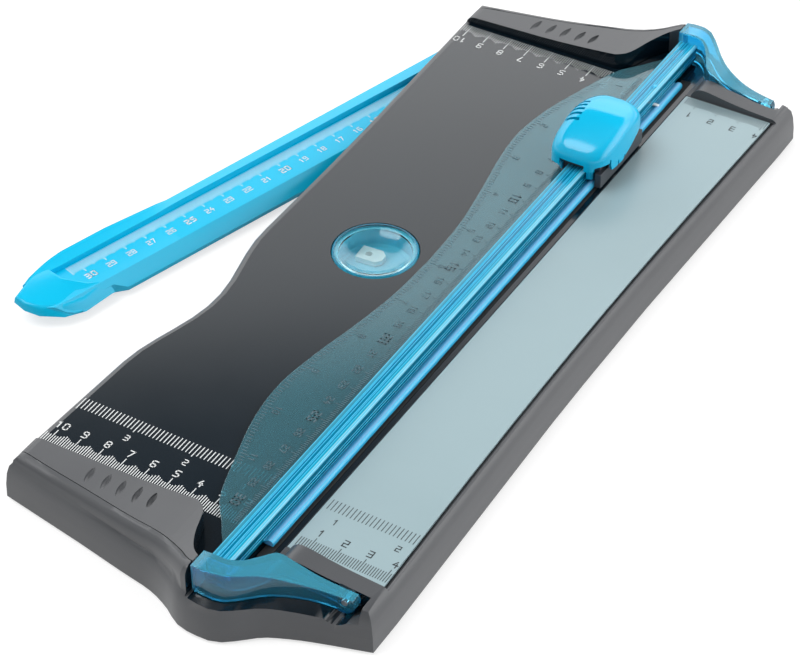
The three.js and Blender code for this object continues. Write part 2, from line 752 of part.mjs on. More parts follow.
// Ruler arm, in its own frame: s along the arm from the cut line, t towards the fence
function makeRulerArm() {
  const width = armOuter + armSkirt;
  const tipStart = armTip - tipLong;
  const tip = tipShares.map(([s, t]) => [tipStart + s * tipLong, -armSkirt + t * width]);
  const tipCurve = smooth(tip, 30);
  const hubS = -armPivotX;
  const plan = [
    [hubS - armHub + 2 * armHubEase, -armSkirt], [hubS - armHub, 0],
    [hubS - armHub + armHubEase, armHub - armHubEase], [hubS, armFence], [hubS + armHubEase, armOuter],
    ...tipCurve,
    [armTip - notchFromTip, armFingerNotch - armSkirt],
    [armTip - notchFromTip - notchLong, armFingerNotch - armSkirt],
    [armTip - notchFromTip - notchLong - notchEase, -armSkirt],
  ];
  const section = (inset) => [
    [-armSkirt + inset, armFoot - (inset > 0 ? overrun : 0)],
    [-armSkirt + inset, armFoot + armThick],
    [-armSkirt + inset + armSkirtLean, armScaleZ - 2 * armThick - inset / 2],
    [-armShoulder + inset / 2, armScaleZ - inset],
    [armFence + inset, armScaleZ - inset],
    [armFence + inset, armScaleZ + armFenceHeight - inset],
    [armOuter - inset, armScaleZ + armFenceHeight - inset],
    [armOuter - inset, armFoot - (inset > 0 ? overrun : 0)],
  ];
  const start = hubS - armHub - overrun;
  const end = armTip + overrun;
  const outer = alongX(section(0), start, end).intersect(slab(plan, armFoot, overrun));
  const inner = alongX(section(armThick), start, end)
    .intersect(slab(plan, armFoot - overrun, overrun, armThick));
  let arm = outer.subtract(inner);
  arm = arm.add(post(hubS, 0, pivotRadius + pivotWall, armFoot + armThick + seatGap, armScaleZ, 28));
  return arm.subtract(post(hubS, 0, pivotRadius + seatGap, armFoot - overrun, overrun, 28));
}

function makePivotWasher() {
  const top = armFoot + armThick;
  const washer = post(armPivotX, armPivotY, pivotHead, top - seatGap - washerThick, top - seatGap, 28);
  return washer.subtract(post(armPivotX, armPivotY, pivotBore, -overrun, overrun));
}

function makePivotScrew() {
  const top = armFoot + armThick - 2 * seatGap - washerThick;
  const tip = -deckThick - 2 * pivotRoof;
  const shank = post(armPivotX, armPivotY, pivotBore - seatGap, top - screwHeadThick / 2, tip, 16);
  return shank.add(post(armPivotX, armPivotY, screwHead, top - screwHeadThick, top, 20));
}

// Guide rail
function makeGuideRail() {
  const l = railLeft;
  const r = railRight;
  const mid = (l + r) / 2;
  const ribWide = (r - l) / 6;
  const innerLeft = l + railGroove + railSide;
  const innerRight = r - railGroove - railSide;
  const rib = (centre) => [
    [centre + ribWide / 2, railTop], [centre + ribWide / 3, railTop - railRib],
    [centre - ribWide / 3, railTop - railRib], [centre - ribWide / 2, railTop],
  ];
  const box = [
    [l, railFoot], [innerLeft, railFoot], [innerLeft, railTop - railWall], [innerRight, railTop - railWall],
    [innerRight, railFoot], [r, railFoot],
    [r, railGrooveLow], [r - railGroove, railGrooveLow], [r - railGroove, railGrooveHigh],
    [r, railGrooveHigh],
    [r, railTop - railEase], [r - railEase, railTop],
    ...rib(mid + ribWide), ...rib(mid - ribWide),
    [l + railEase, railTop], [l, railTop - railEase],
    [l, railGrooveHigh], [l + railGroove, railGrooveHigh], [l + railGroove, railGrooveLow],
    [l, railGrooveLow],
  ];
  const f = flangeRight;
  const flange = [
    [r - railWall / 2, railFoot], [r - railEase, flangeFoot], [f, flangeFoot], [f, flangeTop - 2 * railEase],
    [f - railEase, flangeTop - railEase / 2], [f - flangeWide / 2, flangeTop],
    [f - flangeWide + railEase, flangeTop - railEase / 2], [f - flangeWide, flangeTop - 2 * railEase],
    [r, flangeTop - 2 * railEase],
  ];
  return alongY(box, -railHalf, railHalf).add(alongY(flange, -flangeHalf, flangeHalf));
}

// Pressure plate with its wavy edge
function makePressurePlate() {
  const half = smooth(waveShares.map(([y, x]) => [-x * waveReach, y * waveHalf]), 36);
  const far = half.map(([x, y]) => [x, waveShift + y]);
  const near = half.map(([x, y]) => [x, waveShift - y]).reverse();
  near.pop();
  const last = waveHalf + waveShift;
  const line = [...near, ...far, [plateRight, last], [plateRight, waveShift - waveHalf]];
  const limit = railEnd - seatGap;
  return slab(line, flapFoot, flapFoot + flapThick)
    .intersect(block(-waveReach - overrun, plateRight, -limit, limit, -overrun, overrun));
}

// Rail arms: clear shells, open below, with a spigot that fills the rail's end
function makeRailArm(sign) {
  const plan = sideOf(armPlan(0), sign);
  const [from, to] = rangeY(hingeInner - overrun, bulgeHalf + overrun, sign);
  const side = (thick) => [
    ...armSide(0).slice(1).map(([x, z]) => [x, z - (thick > 0 ? overrun : 0)]),
    [hingeX, endHeight + overrun], [-armLeft, endHeight + overrun],
  ];
  const lobe = (thick) => barY(hingeX, hingeZ, lobeRadius - thick, from, to, 28);
  const top = (thick) => alongY(underEndTop(-thick, -2 * overrun), from, to);
  const shape = (thick) => slab(plan, -2 * overrun, endHeight + overrun, thick)
    .intersect(top(thick))
    .intersect(alongY(side(thick), from, to).add(lobe(thick)));
  let arm = shape(0).subtract(shape(shellThick));
  const spigotLeft = railLeft + railGroove + railSide + seatGap;
  const spigotRight = railRight - railGroove - railSide - seatGap;
  const [tip, root] = rangeY(railEnd - spigotLong, railEnd + shellThick / 2, sign);
  arm = arm.add(block(spigotLeft, spigotRight, tip, root, railFoot + seatGap, railTop - railWall - seatGap));
  const [pinFrom, pinTo] = rangeY(hingeInner - overrun, bulgeHalf + overrun, sign);
  const eye = barY(hingeX, hingeZ, pinRadius + shellThick, pinFrom, pinTo, 24)
    .intersect(slab(plan, -overrun, overrun));
  return arm.add(eye).subtract(barY(hingeX, hingeZ, pinRadius + seatGap, pinFrom, pinTo));
}

function makeHingePin(sign) {
  const outer = shellLine.find(([x]) => x > hingeX)[1];
  const [from, to] = rangeY(hingeInner - lobeSwing - pinBite, outer, sign);
  return barY(hingeX, hingeZ, pinRadius, from, to);
}

// Carriage base: a saddle with lips that run in the rail's side grooves
function makeCarriageBase() {
  const lipLow = railGrooveLow + slideGap;
  const lipHigh = railGrooveHigh - slideGap;
  const l = railLeft - slideGap;
  const r = railRight + slideGap;
  const section = [
    [saddleLeft, saddleFoot], [l, saddleFoot], [l, lipLow], [l + railGroove, lipLow],
    [l + railGroove, lipHigh],
    [l, lipHigh], [l, saddleArch], [r, saddleArch], [r, lipHigh], [r - railGroove, lipHigh],
    [r - railGroove, lipLow], [r, lipLow], [saddleRight, lipLow], [saddleRight, saddleTop],
    [saddleLeft + saddleJaw, saddleTop], [saddleLeft, saddleArch - saddleEase],
  ];
  const room = headSolid(headWall + slideGap).translate([0, 0, -pressTravel]);
  let base = alongY(section, carriageY - baseHalf, carriageY + baseHalf).intersect(room);
  for (const side of [-1, 1]) {
    const y = carriageY + side * postSpread;
    base = base.add(post(postX, y, postRadius, saddleArch + saddleEase, postTop, 16));
  }
  return base;
}

// Head: a hollow cap with its back raised and its ends drawn down
function headPlan() {
  const c = headCorner;
  const x0 = headLeft;
  const x1 = headRight;
  const y0 = carriageY - headHalf;
  const y1 = carriageY + headHalf;
  const shape = new THREE.Shape();
  const e = headFrontCorner;
  shape.moveTo(x0 + c, y0);
  shape.lineTo(x1 - e, y0);
  shape.quadraticCurveTo(x1, y0, x1, y0 + e);
  shape.lineTo(x1, y1 - e);
  shape.quadraticCurveTo(x1, y1, x1 - e, y1);
  shape.lineTo(x0 + c, y1);
  shape.quadraticCurveTo(x0, y1, x0, y1 - c);
  shape.lineTo(x0, y0 + c);
  shape.quadraticCurveTo(x0, y0, x0 + c, y0);
  return shape.getPoints(6).slice(0, -1).map((p) => [p.x, p.y]);
}

function headSolid(inset) {
  const low = inset > 0 ? headFoot - overrun : headFoot;
  const start = carriageY - headHalf + inset;
  const long = 2 * (headHalf - inset);
  const tall = headTop - inset - headFoot;
  const top = headSideShares.slice(1, -1).map(([y, z]) => [start + y * long, headFoot + z * tall]);
  const side = [[start, low], ...smooth(top, 22), [start + long, low]];
  const l = headLeft + inset;
  const r = headRight - inset;
  const high = headTop - inset;
  const edge = headEdge;
  const bevel = headRightEdge;
  const front = [
    [l, low], [l, high - 3 * edge], [l + edge, high - edge], [l + 2 * edge, high], [r - 2 * bevel, high],
    [r - bevel / 2, high - bevel], [r, high - 3 * bevel], [r, low],
  ];
  return slab(headPlan(), low, headTop, inset)
    .intersect(alongX(side, headLeft - overrun, headRight + overrun))
    .intersect(alongY(front, carriageY - headHalf - overrun, carriageY + headHalf + overrun));
}

function makeHeadCover() {
  const room = 2 * slideGap;
  let head = headSolid(0).subtract(headSolid(headWall)).subtract(block(
    railLeft - room, railRight + room, carriageY - headHalf - overrun, carriageY + headHalf + overrun,
    headFoot - overrun, railTop + pressTravel + room,
  ));
  for (const side of [-1, 1]) {
    const seat = post(
      postX, carriageY + side * postSpread, springRadius + springWire, springTop + seatGap, headTop, 20,
    );
    head = head.add(seat.intersect(headSolid(headWall / 2)));
  }
  for (let i = 0; i < gripCount; i++) {
    const y = carriageY + gripFirst + i * gripPitch;
    head = head.subtract(
      block(headLeft - overrun, headLeft + gripCut, y, y + gripWide, gripLow, gripHigh),
    );
  }
  return head;
}

function makeCartridge() {
  const low = cartridgeFoot;
  const high = cartridgeTop;
  const slotHalf = bladeRadius + cheekGap;
  const inside = headSolid(headWall + slideGap).add(block(
    headLeft, headRight, carriageY - headHalf, carriageY + headHalf, headFoot - overrun, headFoot,
  ));
  const near = carriageY - cartridgeHalf;
  return block(cartridgeLeft, cartridgeRight, near, near + 2 * cartridgeHalf, low, high)
    .intersect(inside)
    .subtract(block(
      bladeLeft - cheekGap, bladeLeft + bladeThick + cheekGap, carriageY - slotHalf, carriageY + slotHalf,
      low - overrun, high + overrun,
    ))
    .subtract(barX(
      carriageY, bladeRest + bladeRadius, axleRadius + seatGap, cartridgeLeft - overrun,
      cartridgeRight + overrun,
    ));
}

function makeBlade() {
  const half = bladeThick / 2;
  const points = [
    [bladeBore, -half], [bladeRadius - bladeEdge, -half], [bladeRadius, -bladeLand / 2],
    [bladeRadius, bladeLand / 2], [bladeRadius - bladeEdge, half], [bladeBore, half],
  ];
  const ring = [...points, points[0]].map(vector);
  const disc = new THREE.LatheGeometry(ring, 48).rotateZ(-Math.PI / 2);
  return solidOf(disc.translate(bladeLeft + half, carriageY, bladeRest + bladeRadius));
}

function makeAxle() {
  const z = bladeRest + bladeRadius;
  const end = cartridgeRight + seatGap;
  const shank = barX(carriageY, z, axleRadius, cartridgeLeft, end + axleHeadThick / 2, 16);
  return shank.add(barX(carriageY, z, axleHead, end, end + axleHeadThick, 20));
}

// A compression spring: one wire in flat-ended curls round a post
function makeSpring(side) {
  const low = saddleTop + seatGap + springWire;
  const high = springTop - springWire;
  const steps = springCurls * 8;
  const points = [];
  for (let i = 0; i <= steps; i++) {
    const turn = (2 * Math.PI * i) / 8;
    points.push(new THREE.Vector3(
      postX + springRadius * Math.cos(turn),
      carriageY + side * postSpread + springRadius * Math.sin(turn),
      low + ((high - low) * i) / steps,
    ));
  }
  const path = new THREE.CatmullRomCurve3(points);
  const ring = [];
  for (let i = 0; i < 5; i++) {
    ring.push([springWire * Math.cos((2 * Math.PI * i) / 5), springWire * Math.sin((2 * Math.PI * i) / 5)]);
  }
  const wire = new THREE.Shape(ring.map(vector));
  return solidOf(new THREE.ExtrudeGeometry(wire, { steps, bevelEnabled: false, extrudePath: path }));
}

// Assembly
piece("base_housing", makeBaseHousing(), greyPlastic, 0.4);
piece("near_end_cover", makeCover(-1), greyPlastic, 0.35);
piece("far_end_cover", makeCover(1), greyPlastic, 0.35);
piece("bottom_plate", makeBottomPlate(), darkPlastic, 0.6);
screwPlaces.forEach((place, i) => piece("case_screw_" + (i + 1), makeScrew(place), steel, 0.3, 1, 0.9));
footPlaces.forEach((place, i) => piece("rubber_foot_" + (i + 1), makeFoot(place), darkPlastic, 0.9));
piece(
  "measuring_panel",
  slab(panelPlan(0, 0, deckHalf - seatGap), -panelThick, 0),
  0xb4cad2,
  0.35,
);
piece("cutting_mat", block(matLeft, matRight, -matHalf, matHalf, -matThick, 0), 0x101214, 0.7);
piece("storage_cup", makeStorageCup(), turquoise, 0.35);
piece("storage_lid", makeStorageLid(), clearBlue, 0.1, 0.5);
const spare = piece("spare_cartridge", makeSpare(), 0xf0f2f0, 0.4);
spare.position.set(storeX + spareOffsetX, spareOffsetY, 0);
spare.rotation.z = spareTurn;

const armGroup = new THREE.Group();
armGroup.position.set(armPivotX, armPivotY, 0);
armGroup.rotation.z = -Math.PI / 2 - THREE.MathUtils.degToRad(armRest);
group.add(armGroup);
const armInner = new THREE.Group();
armInner.position.set(armPivotX, 0, 0);
armGroup.add(armInner);
const arm = piece("ruler_arm", makeRulerArm().mirror([0, 1, 0]), turquoise, 0.3, 1, 0, armInner);
arm.updateMatrix();
piece("arm_pivot_washer", makePivotWasher(), steel, 0.35, 1, 0.9);
piece("arm_pivot_screw", makePivotScrew(), steel, 0.3, 1, 0.9);

piece("guide_rail", makeGuideRail(), clearBlue, 0.15, 0.7);
piece("pressure_plate", makePressurePlate(), smokedBlue, 0.2, 0.5);
for (const [name, sign] of [["near", -1], ["far", 1]]) {
  piece(name + "_end_arm", makeRailArm(sign), clearBlue, 0.15, 0.7);
  piece(name + "_hinge_pin", makeHingePin(sign), steel, 0.3, 1, 0.9);
}
piece("carriage_base", makeCarriageBase(), darkPlastic, 0.5);
piece("head_cover", makeHeadCover(), turquoise, 0.2);
piece("blade_cartridge", makeCartridge(), darkPlastic, 0.5);
piece("rotary_blade", makeBlade(), steel, 0.2, 1, 1);
piece("blade_axle", makeAxle(), steel, 0.3, 1, 0.9);
piece("head_spring_near", makeSpring(-1), steel, 0.3, 1, 0.9);
piece("head_spring_far", makeSpring(1), steel, 0.3, 1, 0.9);

// The part's origin is the middle of its bounding box on the ground
const reach = new THREE.Box3().setFromObject(group, true);
const middle = reach.getCenter(new THREE.Vector3());
group.position.set(-middle.x, -middle.y, -reach.min.z);
const trimmer = new THREE.Group();
trimmer.add(group);

export default trimmer;
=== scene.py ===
import bpy
import bmesh
import json
import math
from mathutils import Matrix, Vector
from mathutils.bvhtree import BVHTree


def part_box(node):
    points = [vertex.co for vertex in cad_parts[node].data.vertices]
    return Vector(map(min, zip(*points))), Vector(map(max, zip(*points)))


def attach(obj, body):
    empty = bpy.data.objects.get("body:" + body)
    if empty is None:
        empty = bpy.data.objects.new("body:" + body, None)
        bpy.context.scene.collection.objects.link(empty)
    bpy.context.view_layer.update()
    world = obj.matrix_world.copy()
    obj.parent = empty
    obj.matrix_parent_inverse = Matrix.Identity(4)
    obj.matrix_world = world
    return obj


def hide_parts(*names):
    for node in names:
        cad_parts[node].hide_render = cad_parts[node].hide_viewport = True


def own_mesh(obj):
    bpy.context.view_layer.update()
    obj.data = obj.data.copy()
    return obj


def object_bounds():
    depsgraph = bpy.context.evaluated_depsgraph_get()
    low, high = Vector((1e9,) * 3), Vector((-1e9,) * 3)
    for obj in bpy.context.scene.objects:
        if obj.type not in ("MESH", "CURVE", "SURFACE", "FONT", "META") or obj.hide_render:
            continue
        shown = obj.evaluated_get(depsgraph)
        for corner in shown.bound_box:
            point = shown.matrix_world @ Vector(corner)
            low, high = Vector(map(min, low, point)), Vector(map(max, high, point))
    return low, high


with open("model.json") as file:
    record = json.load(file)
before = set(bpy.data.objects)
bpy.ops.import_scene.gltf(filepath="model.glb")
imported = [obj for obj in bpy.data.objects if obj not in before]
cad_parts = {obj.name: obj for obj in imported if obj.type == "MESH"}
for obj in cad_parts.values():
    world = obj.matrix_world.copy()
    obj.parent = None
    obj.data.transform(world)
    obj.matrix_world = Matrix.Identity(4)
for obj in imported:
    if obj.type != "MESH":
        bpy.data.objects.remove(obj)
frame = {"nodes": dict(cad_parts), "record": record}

# Rotary paper trimmer. Lengths in the dictionaries are millimetres from the cut line (x),
# the middle of the deck (y) and the deck's top face (z), unless a note says otherwise.
cadLow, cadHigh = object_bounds()
mm = 0.001
stripLeft = 3.5  # cutting strip's left edge to the cut line
stripLow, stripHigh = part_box("cutting_mat")
toFrame = Matrix.Translation((stripLow.x + stripLeft * mm, 0, stripHigh.z)) @ Matrix.Scale(mm, 4)
groundZ = cadLow.z
bodyNodes = frame["record"]["behaviour"]["bodies"]
nodeBody = {node: body for body, nodes in bodyNodes.items() for node in nodes}
nodeSlot = {part["node"]: part["material_slot"] for part in frame["record"]["subparts"]}


def inFrame(x, y, z):
    return toFrame @ Vector((x, y, z))


def newMaterial(name, color, roughness, sockets=None):
    material = bpy.data.materials.new(name)
    material.use_nodes = True
    shader = material.node_tree.nodes["Principled BSDF"]
    shader.inputs["Base Color"].default_value = (*color, 1)
    shader.inputs["Roughness"].default_value = roughness
    for socket, value in (sockets or {}).items():
        shader.inputs[socket].default_value = value
    return material, material.node_tree, shader


def newRamp(tree, stops):
    # a colour ramp from stops of (place, colour)
    ramp = tree.nodes.new("ShaderNodeValToRGB")
    marks = ramp.color_ramp.elements
    while len(marks) < len(stops):
        marks.new(0.5)
    for mark, (spot, color) in zip(marks, stops):
        mark.position = spot
        mark.color = (*color, 1)
    return ramp


def objectNoise(tree, scale, detail):
    coords = tree.nodes.new("ShaderNodeTexCoord")
    noise = tree.nodes.new("ShaderNodeTexNoise")
    noise.inputs["Scale"].default_value = scale
    noise.inputs["Detail"].default_value = detail
    tree.links.new(coords.outputs["Object"], noise.inputs["Vector"])
    return noise.outputs["Fac"]


def varyGloss(tree, shader, noise, low, high):
    spread = tree.nodes.new("ShaderNodeMapRange")
    spread.inputs["To Min"].default_value = low
    spread.inputs["To Max"].default_value = high
    tree.links.new(noise, spread.inputs["Value"])
    tree.links.new(spread.outputs["Result"], shader.inputs["Roughness"])


grainDepth = 0.00004  # metres
wearFrom, wearTo = 0.35, 0.65  # where on the noise the darker and the lighter colour stand
hazeScale = 40


def addGrain(tree, shader, scale, strength):
    # fine moulded grain as bump, in object space
    bump = tree.nodes.new("ShaderNodeBump")
    bump.inputs["Strength"].default_value = strength
    bump.inputs["Distance"].default_value = grainDepth
    tree.links.new(objectNoise(tree, scale, 3), bump.inputs["Height"])
    tree.links.new(bump.outputs["Normal"], shader.inputs["Normal"])


def addWear(tree, shader, dark, light, scale, low, high):
    # slow change of colour and roughness over the moulding
    noise = objectNoise(tree, scale, 4)
    ramp = newRamp(tree, ((wearFrom, dark), (wearTo, light)))
    tree.links.new(noise, ramp.inputs["Fac"])
    tree.links.new(ramp.outputs["Color"], shader.inputs["Base Color"])
    varyGloss(tree, shader, noise, low, high)


def addHaze(tree, shader, low, high):
    # a slow change of gloss on the clear pieces
    varyGloss(tree, shader, objectNoise(tree, hazeScale, 2), low, high)


# colour, roughness, grain's scale and strength, other sockets,
# and wear: darker and lighter colour, scale, lowest and highest roughness
solidLooks = {
    "satinGrey": ((0.074, 0.078, 0.085), 0.36, (3200, 0.12), {"IOR": 1.53},
                  ((0.068, 0.072, 0.079), (0.077, 0.081, 0.088), 28, 0.32, 0.4)),
    "deckBlack": ((0.003, 0.009, 0.015), 0.1, (2600, 0.05), {"IOR": 1.5},
                  ((0.0025, 0.0085, 0.0145), (0.0035, 0.01, 0.0165), 22, 0.08, 0.13)),
    "mattBlack": ((0.012, 0.013, 0.015), 0.55, (2400, 0.25), {},
                  ((0.01, 0.011, 0.013), (0.016, 0.017, 0.019), 40, 0.5, 0.6)),
    "carriageGrey": ((0.05, 0.055, 0.065), 0.4, (2400, 0.15), {},
                     ((0.045, 0.05, 0.06), (0.06, 0.065, 0.075), 60, 0.36, 0.44)),
    "softRubber": ((0.014, 0.014, 0.015), 0.8, (1500, 0.4), {},
                   ((0.011, 0.011, 0.012), (0.02, 0.02, 0.021), 60, 0.74, 0.86)),
    "palePanel": ((0.3, 0.41, 0.44), 0.3, (2800, 0.06), {},
                  ((0.292, 0.4, 0.43), (0.308, 0.42, 0.452), 16, 0.26, 0.34)),
    "turquoiseGloss": ((0.0, 0.5, 0.8), 0.12, (2200, 0.02), {"IOR": 1.52},
                       ((0.0, 0.49, 0.79), (0.0, 0.51, 0.815), 30, 0.1, 0.15)),
    "whiteMoulding": ((0.8, 0.83, 0.82), 0.4, (2600, 0.1), {},
                      ((0.77, 0.8, 0.79), (0.83, 0.86, 0.85), 90, 0.36, 0.46)),
    "armBlue": ((0.0, 0.5, 0.79), 0.24, (2200, 0.02), {"IOR": 1.38},
                ((0.0, 0.49, 0.78), (0.0, 0.51, 0.8), 30, 0.2, 0.28)),
    # the cup is turquoise; this lighter blue is painted light, standing in for the light that the
    # clear lid holds back
    "cupBlueWithPaintedLight": ((0.1, 0.62, 0.78), 0.5, (2200, 0.05), {"IOR": 1.3},
                ((0.095, 0.6, 0.76), (0.11, 0.64, 0.8), 30, 0.45, 0.55)),
    "plainSteel": ((0.56, 0.57, 0.6), 0.28, (1800, 0.08), {"Metallic": 1},
                   ((0.5, 0.51, 0.54), (0.6, 0.61, 0.63), 160, 0.22, 0.36)),
    "groundSteel": ((0.62, 0.63, 0.65), 0.18, (5200, 0.1), {"Metallic": 1},
                    ((0.57, 0.58, 0.61), (0.66, 0.67, 0.68), 300, 0.14, 0.26)),
}

# colour, roughness, lowest and highest roughness of the haze, other sockets
clearLooks = {
    "clearSmoke": ((0.2, 0.52, 0.62), 0.08, (0.04, 0.07),
                   {"IOR": 1.5, "Transmission Weight": 0.82}),
    "clearLid": ((0.8, 0.96, 0.99), 0.02, (0.01, 0.03),
                 {"IOR": 1.22, "Transmission Weight": 0.99, "Coat Weight": 0.5}),
    "lidRing": ((0.0, 0.22, 0.36), 0.12, (0.1, 0.14), {"IOR": 1.4, "Transmission Weight": 0.3}),
    # painted highlights: brighter edges where a clear moulding gathers the light, and lighter upper
    # faces of the end arms where the light falls on them
    "paintedEdgeHighlight": ((0.05, 0.62, 0.96), 0.12, (0.08, 0.14), {"IOR": 1.46, "Transmission Weight": 0.15}),
    "shellTopPaintedLight": ((0.14, 0.72, 0.96), 0.04, (0.04, 0.08),
                 {"IOR": 1.42, "Transmission Weight": 0.72}),
    "frostedEnd": ((0.42, 0.6, 0.68), 0.3, (0.25, 0.35),
                   {"IOR": 1.42, "Transmission Weight": 0.35}),
}


def makeSolid(name, color, roughness, grain, sockets, wear):
    material, tree, shader = newMaterial(name, color, roughness, sockets)
    addGrain(tree, shader, *grain)
    addWear(tree, shader, *wear)
    return material


def makeClear(name, color, roughness, haze, sockets):
    material, tree, shader = newMaterial(name, color, roughness, sockets)
    addHaze(tree, shader, *haze)
    return material


def rampOver(tree, value, low, high, stops):
    # colours along one coordinate, stops given between low and high
    ramp = newRamp(tree, [((spot - low) / (high - low), color) for spot, color in stops])
    spread = tree.nodes.new("ShaderNodeMapRange")
    spread.inputs["From Min"].default_value = low
    spread.inputs["From Max"].default_value = high
    tree.links.new(value, spread.inputs["Value"])
    tree.links.new(spread.outputs["Result"], ramp.inputs["Fac"])
    return ramp.outputs["Color"]


def objectAxes(tree):
    # object coordinates in the millimetres of this file
    coords = tree.nodes.new("ShaderNodeTexCoord")
    scale = tree.nodes.new("ShaderNodeVectorMath")
    scale.operation = "MULTIPLY_ADD"
    scale.inputs[1].default_value = (1 / mm, 1 / mm, 1 / mm)
    origin = toFrame.translation / mm
    scale.inputs[2].default_value = -origin
    split = tree.nodes.new("ShaderNodeSeparateXYZ")
    tree.links.new(coords.outputs["Object"], scale.inputs[0])
    tree.links.new(scale.outputs["Vector"], split.inputs["Vector"])
    return split.outputs


# painted light on the rail: the near-white and pale bands are painted highlights and reflections on
# the rib and the right edge, the darkest bands painted shade
railPaintedLightBands = {"top": [(-12.3, (0.06, 0.38, 0.53)), (-10.5, (0.04, 0.33, 0.48)),
                     (-10.3, (0.07, 0.6, 0.82)), (-10.0, (0.0, 0.21, 0.39)),
                     (-7.3, (0.0, 0.23, 0.42)), (-6.6, (0.0, 0.38, 0.6)), (-5.4, (0.0, 0.4, 0.62)),
                     (-5.1, (0.3, 0.76, 0.93)), (-4.1, (0.42, 0.82, 0.95))],
             "side": [(-4.3, (0.0, 0.17, 0.28)), (-3.9, (0.0, 0.19, 0.3)),
                      (-3.6, (0.12, 0.45, 0.8)), (-0.9, (0.25, 0.62, 0.95)),
                      (-0.3, (0.05, 0.5, 0.85))], "edge": (7.3, 7.7)}


def railBlue(size):
    # the rail's moulding, coloured in bands as the lit rail shows from above: painted highlights
    # and painted shade over the moulding's own blue
    material, tree, shader = newMaterial(
        "railBlue", (0.0, 0.35, 0.6), 0.07, {"IOR": 1.36, "Transmission Weight": 0.22})
    axes = objectAxes(tree)
    top = rampOver(tree, axes["X"], size["top"][0][0], size["top"][-1][0], size["top"])
    side = rampOver(tree, axes["X"], size["side"][0][0], size["side"][-1][0], size["side"])
    level = tree.nodes.new("ShaderNodeMapRange")
    level.inputs["From Min"].default_value, level.inputs["From Max"].default_value = size["edge"]
    mix = tree.nodes.new("ShaderNodeMix")
    mix.data_type = "RGBA"
    tree.links.new(axes["Z"], level.inputs["Value"])
    tree.links.new(level.outputs["Result"], mix.inputs["Factor"])
    tree.links.new(side, mix.inputs["A"])
    tree.links.new(top, mix.inputs["B"])
    tree.links.new(mix.outputs["Result"], shader.inputs["Base Color"])
    addHaze(tree, shader, 0.05, 0.1)
    return material


shellTints = {"low": -4, "high": 14,
              "stops": [(-4, (0.0, 0.5, 0.9)), (-1.5, (0.13, 0.66, 0.9)), (5, (0.2, 0.7, 0.93)),
                        (10, (0.06, 0.58, 0.92))]}


def clearShell(size):
    # the end arms: much clearer than the rail, bluest at the bottom, palest at mid height and bluer
    # again at the top
    material, tree, shader = newMaterial(
        "clearShell", (0.4, 0.8, 0.96), 0.03, {"IOR": 1.42, "Transmission Weight": 0.9})
    color = rampOver(tree, objectAxes(tree)["Z"], size["low"], size["high"], size["stops"])
    tree.links.new(color, shader.inputs["Base Color"])
    addHaze(tree, shader, 0.015, 0.04)
    return material


def printInk(name, color):
    darker = tuple(c * 0.94 for c in color)
    return makeSolid(name, color, 0.5, (4000, 0.05), {}, (darker, color, 120, 0.45, 0.55))


coats = {name: makeSolid(name, *look) for name, look in solidLooks.items()}
coats.update({name: makeClear(name, *look) for name, look in clearLooks.items()})
finishes = {
    "grey_plastic": coats["satinGrey"],
    "dark_plastic": coats["mattBlack"],
    "pale_panel": coats["palePanel"],
    "black_rubber": coats["softRubber"],
    "turquoise_plastic": coats["turquoiseGloss"],
    "white_plastic": coats["whiteMoulding"],
    "smoked_blue": coats["clearSmoke"],
    "steel": coats["plainSteel"],
    "blade_steel": coats["groundSteel"],
}
railWithPaintedLight = railBlue(railPaintedLightBands)
shellFinish = clearShell(shellTints)
whiteInk = printInk("whiteInk", (0.8, 0.82, 0.82))
greyInk = printInk("greyInk", (0.035, 0.045, 0.05))
plateInk = printInk("plateInk", (0.07, 0.13, 0.16))
print("materials made")


def boxAt(bm, x0, x1, y0, y1, z0, z1, turn=None):
    middle = Matrix.Translation(((x0 + x1) / 2, (y0 + y1) / 2, (z0 + z1) / 2))
    size = Matrix.Diagonal((x1 - x0, y1 - y0, z1 - z0, 1))
    matrix = middle @ size if turn is None else turn @ middle @ size
    bmesh.ops.create_cube(bm, size=1, matrix=matrix)


def cutAcross(bm, spot, normal, near):
    bmesh.ops.bisect_plane(
        bm, geom=bm.verts[:] + bm.edges[:] + bm.faces[:], dist=near, plane_co=spot, plane_no=normal)


def spinProfile(bm, points, centre, steps=64):
    # a profile of (radius, height) turned round the vertical
    cx, cy = centre
    verts = [bm.verts.new((cx + r, cy, z)) for r, z in points]
    edges = [bm.edges.new(pair) for pair in zip(verts, verts[1:])]
    bmesh.ops.spin(
        bm, geom=verts + edges, cent=(cx, cy, 0), axis=(0, 0, 1), angle=math.tau, steps=steps,
        use_merge=True)
    bmesh.ops.remove_doubles(bm, verts=bm.verts, dist=0.0005)


def addBevel(obj, width, segments=2, angle=32):
    bevel = obj.modifiers.new("bevel", "BEVEL")
    bevel.width = width * mm
    bevel.segments = segments
    bevel.limit_method = "ANGLE"
    bevel.angle_limit = math.radians(angle)
    bevel.harden_normals = True
    return bevel


def smoothByAngle(mesh, angle):
    mesh.polygons.foreach_set("use_smooth", [True] * len(mesh.polygons))
    mesh.set_sharp_from_angle(angle=math.radians(angle))


def newObject(name, bm, materials, matrix=None, angle=35, flat=()):
    if matrix is not None:
        bmesh.ops.recalc_face_normals(bm, faces=bm.faces)
    mesh = bpy.data.meshes.new(name)
    bm.to_mesh(mesh)
    bm.free()
    if matrix is not None:
        mesh.transform(matrix)
        if matrix.determinant() < 0:
            mesh.flip_normals()
    for material in materials:
        mesh.materials.append(material)
    smoothByAngle(mesh, angle)
    for polygon in mesh.polygons:
        if polygon.material_index in flat:
            polygon.use_smooth = False
    obj = bpy.data.objects.new(name, mesh)
    bpy.context.collection.objects.link(obj)
    return obj


def place(obj, body, slotName, *nodes):
    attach(obj, body)
    if nodes:
        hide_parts(*nodes)
    return obj


